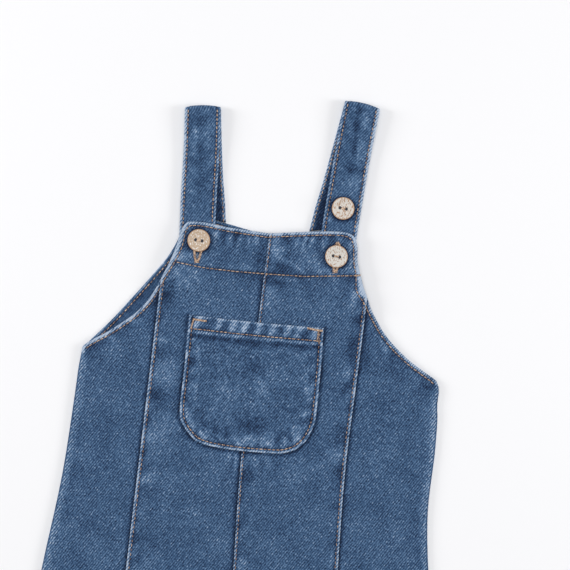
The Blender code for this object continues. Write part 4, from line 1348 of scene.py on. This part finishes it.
front_trees = trees_of(*centre_cloth.values(), *side_cloth.values())
pocket_trees = trees_of(pocket_cloth)
back_trees = trees_of(*back_cloth.values())
SKY = 60.0                  # height that the rays start from, in millimetres
UPWARD = (0.0, 0.0, 1.0)
LEAN = 0.05                 # how far a stitch leans across its row


def on_cloth(x, y, trees):
    """Points in metres on the highest of these cloths; a place off the cloth takes its neighbour's height."""
    places = metres(x, y, SKY)
    heights = []
    for place in places:
        hits = [tree.ray_cast(Vector(place), Vector((0, 0, -1)))[0] for tree in trees]
        hits = [hit.z for hit in hits if hit]
        heights.append(max(hits) if hits else np.nan)
    heights = np.array(heights)
    known = ~np.isnan(heights)
    places[:, 2] = np.interp(np.arange(len(heights)), np.flatnonzero(known), heights[known])
    return places


def stitch_paths(middle, run, up, thickness):
    """Each stitch's path: along its run, plump in the middle and sunk at both ends."""
    return (middle[:, None] + run[:, None] * STITCH.along[:, None]
            + up[:, None] * (STITCH.lift * thickness / 2 * MM)[:, None])


def stitches(name, holes, ups, thickness, shade=0.0, fill=0.86):
    """A stitch from each needle hole to the next, leaning a little."""
    start, end = holes[:-1], holes[1:]
    run, up = (end - start) * fill, (ups[:-1] + ups[1:]) / 2
    paths = stitch_paths((start + end) / 2, run + np.cross(up, run) * LEAN, up, thickness)
    return strands(name, paths, up, thickness, STITCH.girth, shade)


def sew(name, line, trees, pitch, thickness, shade=0.0, fill=0.86):
    """A row of stitches along a line on the cloth."""
    at = np.linspace(0, line.lengths[-1], round(line.lengths[-1] / pitch) + 1)
    holes = on_cloth(*read_at(at, line.lengths, line.points).T, trees)
    print(name, len(at) - 1, "stitches")
    return stitches(name, holes, np.broadcast_to(UPWARD, holes.shape), thickness, shade, fill)


print("needle and thread are ready")

# %% Rows
PITCH, FINE_PITCH = 3.4, 3.6
THICK, FINE = 0.78, 0.55
DOTTED = 0.7                # how much of the pitch a stitch fills where the rows have sunk in
HEM_END = 1.5               # how far inside the leg's edges its hem row ends
facing_row = part_of(facing, 0.5, facing.lengths[-1] - 3.0)
centre_lower = part_of(centre_row, 0.5, centre_row.lengths[-1] - 1)
sew("stitching_bib_and_armholes", bib_row, front_trees, PITCH, THICK, -0.2)
sew("stitching_bib_facing", facing_row, front_trees, PITCH, THICK)
sew("stitching_centre_seam", centre_lower, front_trees, PITCH, FINE, -0.4, DOTTED)
for side, word in SIDES.items():
    sew("stitching_side_front_" + word, side_rows[side], front_trees, FINE_PITCH, FINE, -0.6, DOTTED)
    hem_height = HEM + HEM_STITCH
    hem_ends = (outline[side](hem_height) - side * HEM_END, inseam[side](hem_height) + side * HEM_END)
    sew("stitching_hem_" + word, bar(*((x, hem_height) for x in hem_ends)), front_trees, PITCH, THICK)
    sew("stitching_back_neck_" + word, back_rows[side]["neck"], back_trees, PITCH, THICK)
    sew("stitching_back_armhole_" + word, back_rows[side]["armhole"], back_trees, PITCH, THICK, -0.3)
MOUTH_END, CORNER = 3.6, 88.0       # along the pocket's row: its first stitch, and the round corner
pocket_ends = pocket_row.lengths[-1] - np.array([CORNER, MOUTH_END])
pocket_corners = (MOUTH_END, CORNER, *pocket_ends)
for n, word in enumerate(("left", "bottom", "right")):
    stretch = part_of(pocket_row, pocket_corners[n], pocket_corners[n + 1])
    girth, shade, fill = (THICK, 0.0, 0.8) if word == "bottom" else (FINE, -0.4, DOTTED)
    sew("stitching_pocket_" + word, stretch, pocket_trees, PITCH, girth, shade, fill)
mouth_row = part_of(pocket_hem_row, 0.8, pocket_hem_row.lengths[-1] - 0.8)
sew("stitching_pocket_hem", mouth_row, pocket_trees, PITCH, THICK)

# %% [markdown]
# ## Rows on the straps
# A strap is stitched near both edges, through both layers. The upper side of each run shows, so the back run
# is sewn on the face that the fold turns over, and the front run on the other. The side that lies on the
# table stays flat.

# %% Strap rows
STRAP_THREAD = 0.72
BACK_INSET = 1.9            # the back run's rows, in from the strap's edges
for side, word in SIDES.items():
    stations = straps[side][1]
    back_run = stations.outward[:, 2] < -0.99
    for run, face, inset in (("back", -1, BACK_INSET), ("front", 1, STRAP_STITCH)):
        chosen = back_run if run == "back" else ~back_run
        for edge, across in (("first", inset), ("second", STRAP_WIDTH - inset)):
            column_at = np.full((len(stations.length), 1), across)
            path = strap_points(stations, column_at, face, np.full_like(column_at, -0.2))[chosen, 0]
            gone = run_lengths(path)
            at = np.linspace(0, gone[-1], round(gone[-1] / PITCH) + 1)
            ups = unit(face * read_at(at, gone, stations.outward[chosen]))
            holes = in_metres(read_at(at, gone, path))
            stitches(f"stitching_strap_{word}_{edge}_{run}", holes, ups, STRAP_THREAD, -0.2, DOTTED)
print("straps sewn")

# %% [markdown]
# ## Bar tacks and buttonholes
# A bar tack is a dense zigzag that locks the end of a seam, and a buttonhole is the same satin stitch round a
# slit. Both are rows of strands laid across a line.

# %% Satin stitch
SATIN_PITCH, SATIN_THREAD, SATIN_WIDTH = 0.42, 0.5, 2.1


def satin(name, line, trees, width, lift=0.25, pitch=SATIN_PITCH, shade=0.3):
    """Strands side by side across a line, each leaning a little, as a zigzag does."""
    count = round(line.lengths[-1] / pitch)
    at = np.linspace(0, line.lengths[-1], count)
    places = read_at(at, line.lengths, line.points)
    ahead = unit(read_at(at, line.lengths, np.gradient(line.points, axis=0)))
    zigzag = np.where(np.arange(count) % 2, 0.25, -0.25)[:, None]
    half = (np.stack([-ahead[:, 1], ahead[:, 0]], axis=-1) + ahead * zigzag) * width / 2
    middle, start, end = (on_cloth(*(places + share * half).T, trees) for share in (0, -1, 1))
    level = np.max([start[:, 2], end[:, 2], middle[:, 2]], axis=0) + lift * MM
    start[:, 2], end[:, 2] = level, level
    up = np.broadcast_to(UPWARD, start.shape)
    paths = stitch_paths((start + end) / 2, end - start, up, SATIN_THREAD)
    print(name, count, "strands")
    return strands(name, paths, up, SATIN_THREAD, np.maximum(STITCH.girth, 0.5), shade)


Tack = namedtuple("Tack", "name line width pitch shade", defaults=(SATIN_PITCH, 0.3))
POCKET_TACKS = (
    Tack("left_top", bar((-53.8, -74.1), (-43.2, -74.6)), 1.8, shade=0.7),
    Tack("left_side", bar((-53.6, -74.8), (-54.8, -81.5)), 1.1),
    Tack("right_top", bar((37.8, -72.4), (44.0, -73.0), (49.6, -73.4)), 1.8, shade=0.7),
    Tack("right_side", bar((46.6, -74.0), (46.4, -82.0)), 1.3, 0.62),
)
for tack in POCKET_TACKS:
    satin("bar_tack_pocket_" + tack.name, tack.line, pocket_trees, tack.width, 0.25, tack.pitch, tack.shade)
satin("bar_tack_facing", bar((72.8, -26.7), (75.4, -26.2)), front_trees, 1.4)


def buttonhole_line(slit):
    """Round the open slit, halfway over the satin's width."""
    turns = np.linspace(0, 2 * math.pi, 73)
    x = np.cos(turns) * (slit.width + SATIN_WIDTH) / 2
    y = np.sin(turns) * (slit.length + SATIN_WIDTH) / 2
    return line_through(slit.x + x, slit.y + y)


for side, word in SIDES.items():
    slit = SLITS[side]
    trees = trees_of(centre_cloth[side])
    satin("buttonhole_" + word, buttonhole_line(slit), trees, SATIN_WIDTH, lift=0.2)
    foot = slit.y - slit.length / 2
    satin("bar_tack_buttonhole_" + word, bar((slit.x, foot), (slit.x, foot - 2.2)), trees, 4.2, lift=0.35)

# %% [markdown]
# ## Slits
# The buttonholes are cut through the bib, so that the strap shows dark behind each. The shank pulls the slit
# open in the middle, so a cylinder pressed to a long oval is taken away from the cloth.

# %% Slits
def cut_away(piece, cutter, solver="EXACT"):
    """Takes one object's shape away from a piece."""
    bpy.ops.object.select_all(action="DESELECT")
    bpy.context.view_layer.update()
    bpy.context.view_layer.objects.active = piece
    cut = piece.modifiers.new("cut", "BOOLEAN")
    cut.object = cutter
    cut.operation = "DIFFERENCE"
    cut.solver = solver
    bpy.ops.object.modifier_apply(modifier=cut.name)
    bpy.data.objects.remove(cutter)


for side, slit in SLITS.items():
    bpy.ops.object.select_all(action="DESELECT")
    before = len(centre_cloth[side].data.polygons)
    place = metres(slit.x, slit.y, 5.0)
    bpy.ops.mesh.primitive_cylinder_add(vertices=40, radius=0.5, depth=1, location=place)
    bpy.context.object.scale = (slit.width * MM, slit.length * MM, 12 * MM)
    cut_away(centre_cloth[side], bpy.context.object, "MANIFOLD")
    print("slit cut:", before, "faces became", len(centre_cloth[side].data.polygons))

# %% [markdown]
# ## Coconut buttons
# A coconut button is sawn from shell, so it is flat, pale inside and flecked with brown, with the skin's tan
# round its rim. A cylinder is bevelled, its face inset and sunk, and two holes are cut. They stop partway,
# where the thread fills them, and the material darkens them, as little light gets in.

# %% Coconut shell
FLECK = 0.9                 # millimetres across a fleck
RIM_FROM, RIM_TO = 7.3, 7.9         # millimetres from the middle, over which the tan rim comes in


def coconut(button):
    """Coconut shell: satin, with short flecks that run one way, a tan rim, and holes painted dark as shade."""
    made, tree, shader = new_material("coconut_shell_" + button.node, {"Roughness": 0.5, "IOR": 1.5})
    place = add(tree, "TexCoord").outputs["Object"]
    centre = tuple(-value for value in metres(button.x, button.y, 0.0))
    local = add(tree, "Mapping", {"Vector": place, "Location": centre}).outputs[0]
    grain = {"Vector": local, "Rotation": (0, 0, 0.6), "Scale": (1.0, 0.5, 0.2)}
    fine = add(tree, "Mapping", grain).outputs[0]
    speckle = {"Vector": fine, "Scale": 1 / (FLECK * MM), "Detail": 1.0, "Roughness": 0.6}
    flecks = add(tree, "TexNoise", speckle)
    stops = ((button.share, button.fleck), (button.share + 0.03, button.ground))
    flecked = add(tree, "ValToRGB", {"Fac": flecks.outputs[0]}, stops=stops)
    flat = add(tree, "VectorMath", {0: local, 1: (1.0, 1.0, 0.0)}, operation="MULTIPLY").outputs[0]
    from_centre = add(tree, "VectorMath", {0: flat}, operation="LENGTH").outputs["Value"]
    ragged = add(tree, "Math", {0: flecks.outputs[0], 1: -1.6 * MM, 2: from_centre}, operation="MULTIPLY_ADD")
    widths = {"From Min": RIM_FROM * MM, "From Max": RIM_TO * MM}
    rim = add(tree, "MapRange", {"Value": ragged.outputs[0], **widths})
    rimmed = {"Factor": rim.outputs[0], "A": flecked.outputs["Color"], "B": colour("#B28E70")}
    rimmed = add(tree, "Mix", rimmed, data_type="RGBA")
    turned = add(tree, "Mapping", {"Vector": flat, "Rotation": (0, 0, -math.radians(button.turn))}).outputs[0]
    folded = add(tree, "VectorMath", {0: turned}, operation="ABSOLUTE").outputs[0]
    hole = (HOLE_SPACING / 2 * MM, 0, 0)
    from_hole = add(tree, "VectorMath", {0: folded, 1: hole}, operation="DISTANCE").outputs["Value"]
    sizes = {"From Min": HOLE_RADIUS * 1.01 * MM, "From Max": HOLE_RADIUS * 1.12 * MM}
    outside = add(tree, "MapRange", {"Value": from_hole, **sizes})
    # The hole floors are painted near black: painted shade.
    hole_shade = {"Factor": outside.outputs[0], "A": colour("#1E1E2C"), "B": rimmed.outputs["Result"]}
    hole_shade = add(tree, "Mix", hole_shade, data_type="RGBA")
    tree.links.new(hole_shade.outputs["Result"], shader.inputs["Base Color"])
    bump = add(tree, "Bump", {"Height": flecks.outputs[0], "Strength": 0.3, "Distance": 0.1 * MM})
    tree.links.new(bump.outputs["Normal"], shader.inputs["Normal"])
    return made


print("a button's rim is tan from", RIM_TO, "mm out")

# %% Buttons
HOLE_FLOOR = 1.2            # millimetres above the button's underside
DRILL_LENGTH = 6.0
BEVEL = 0.8
DISH = ((1.5, 0.0), (0.5, 0.25), (0.6, 0.15))       # the face's steps: millimetres in, and down
BUTTON_THREAD = 0.55


def choose_faces(piece, test):
    """Selects the faces that pass a test, in edit mode."""
    mesh = bmesh.from_edit_mesh(piece.data)
    for face in mesh.faces:
        face.select_set(test(face))
    bmesh.update_edit_mesh(piece.data)


def make_button(button):
    """A bevelled and dished disc with two holes, which stands for its solid."""
    bpy.ops.object.select_all(action="DESELECT")
    middle = (0, 0, BUTTON_HEIGHT / 2 * MM)
    bpy.ops.mesh.primitive_cylinder_add(
        vertices=72, radius=BUTTON_RADIUS * MM, depth=BUTTON_HEIGHT * MM, location=middle,
    )
    piece = bpy.context.object
    piece.name = button.node.replace("button", "coconut")
    bpy.ops.object.mode_set(mode="EDIT")
    bpy.ops.mesh.select_mode(type="FACE")
    choose_faces(piece, lambda face: abs(face.normal.z) > 0.9)
    bpy.ops.mesh.bevel(offset=BEVEL * MM, segments=5, affect="EDGES")
    choose_faces(piece, lambda face: face.normal.z > 0.99 and face.calc_area() > 1e-5)
    for inwards, downwards in DISH:
        bpy.ops.mesh.inset(thickness=inwards * MM, depth=-downwards * MM)
    bpy.ops.object.mode_set(mode="OBJECT")
    for hole_side in (-1, 1):
        place = (hole_side * HOLE_SPACING / 2 * MM, 0, (HOLE_FLOOR + DRILL_LENGTH / 2) * MM)
        bpy.ops.mesh.primitive_cylinder_add(
            vertices=24, radius=HOLE_RADIUS * MM, depth=DRILL_LENGTH * MM, location=place,
        )
        cut_away(piece, bpy.context.object)
    # The cylinder was added with its middle as its origin.
    piece.location = metres(button.x, button.y, button.seat + BUTTON_HEIGHT / 2)
    piece.rotation_euler = (0, 0, math.radians(button.turn))
    piece.select_set(True)
    bpy.ops.object.transform_apply(location=True, rotation=True, scale=True)
    bpy.ops.object.shade_smooth_by_angle(angle=math.radians(35))
    piece.data.materials.clear()
    piece.data.materials.append(coconut(button))
    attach(piece, "root")
    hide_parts(button.node)
    return piece


def button_thread(button):
    """Strands up one hole, over the bar and down the other, to the strap under the button."""
    angle = math.radians(button.turn)
    half = HOLE_SPACING / 2
    top = button.seat + BUTTON_HEIGHT - 0.2
    foot = button.seat - (2.8 if "bib" in button.node else 0.6)    # a little way into the strap
    reach = np.array([-0.62, -0.62, -0.60, -0.42, 0.42, 0.60, 0.62, 0.62]) * half
    level = np.array([foot, top - 1.2, top - 0.5, top + 0.05, top + 0.05, top - 0.5, top - 1.2, foot])
    paths = []
    for offset in (-0.45, 0.0, 0.45):
        x = button.x + reach * math.cos(angle) - offset * math.sin(angle)
        y = button.y + reach * math.sin(angle) + offset * math.cos(angle)
        paths.append(metres(x, y, level + 0.1 * (0.5 - abs(offset))))
    up = np.broadcast_to(UPWARD, (len(paths), 3))
    return strands(button.node + "_thread", np.array(paths), up, BUTTON_THREAD, np.ones(len(reach)), 0.6)


for button in BUTTONS:
    made = make_button(button)
    button_thread(button)
    print(made.name, len(made.data.polygons), "faces")

# %% [markdown]
# ## Cloth, bodies and sizes
# The garment is one body, as cloth has no joint. Each shell stands for its solid, which is hidden, and is
# listed as a laid sheet with the size of what shows of its cut. A strap is folded at the shoulder.

# %% Cuts
Cut = namedtuple("Cut", "piece node width length share held rests_on")
CUTS = (
    Cut(back_cloth[-1], "back_left", 0.161, 0.555, 0.85, "laid", ["table"]),
    Cut(back_cloth[1], "back_right", 0.161, 0.556, 0.85, "laid", ["table"]),
    Cut(centre_cloth[-1], "front_centre_left", 0.088, 0.549, 0.92, "laid", ["back_left"]),
    Cut(centre_cloth[1], "front_centre_right", 0.089, 0.552, 0.92, "laid", ["back_right"]),
    Cut(side_cloth[-1], "front_side_left", 0.078, 0.501, 0.80, "laid", ["back_left"]),
    Cut(side_cloth[1], "front_side_right", 0.080, 0.505, 0.80, "laid", ["back_right"]),
    Cut(pocket_cloth, "pocket", 0.109, 0.104, 0.97, "laid", ["front_centre_left", "front_centre_right"]),
    Cut(straps[-1][0], "strap_left", 0.0286, 0.228, 1.0, "folded", ["back_left"]),
    Cut(straps[1][0], "strap_right", 0.0286, 0.248, 1.0, "folded", ["back_right"]),
)
for cut in CUTS:
    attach(cut.piece, "root")
    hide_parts(cut.node)
    print(cut.piece.name, "cut from", cut.width, "by", cut.length, "m")
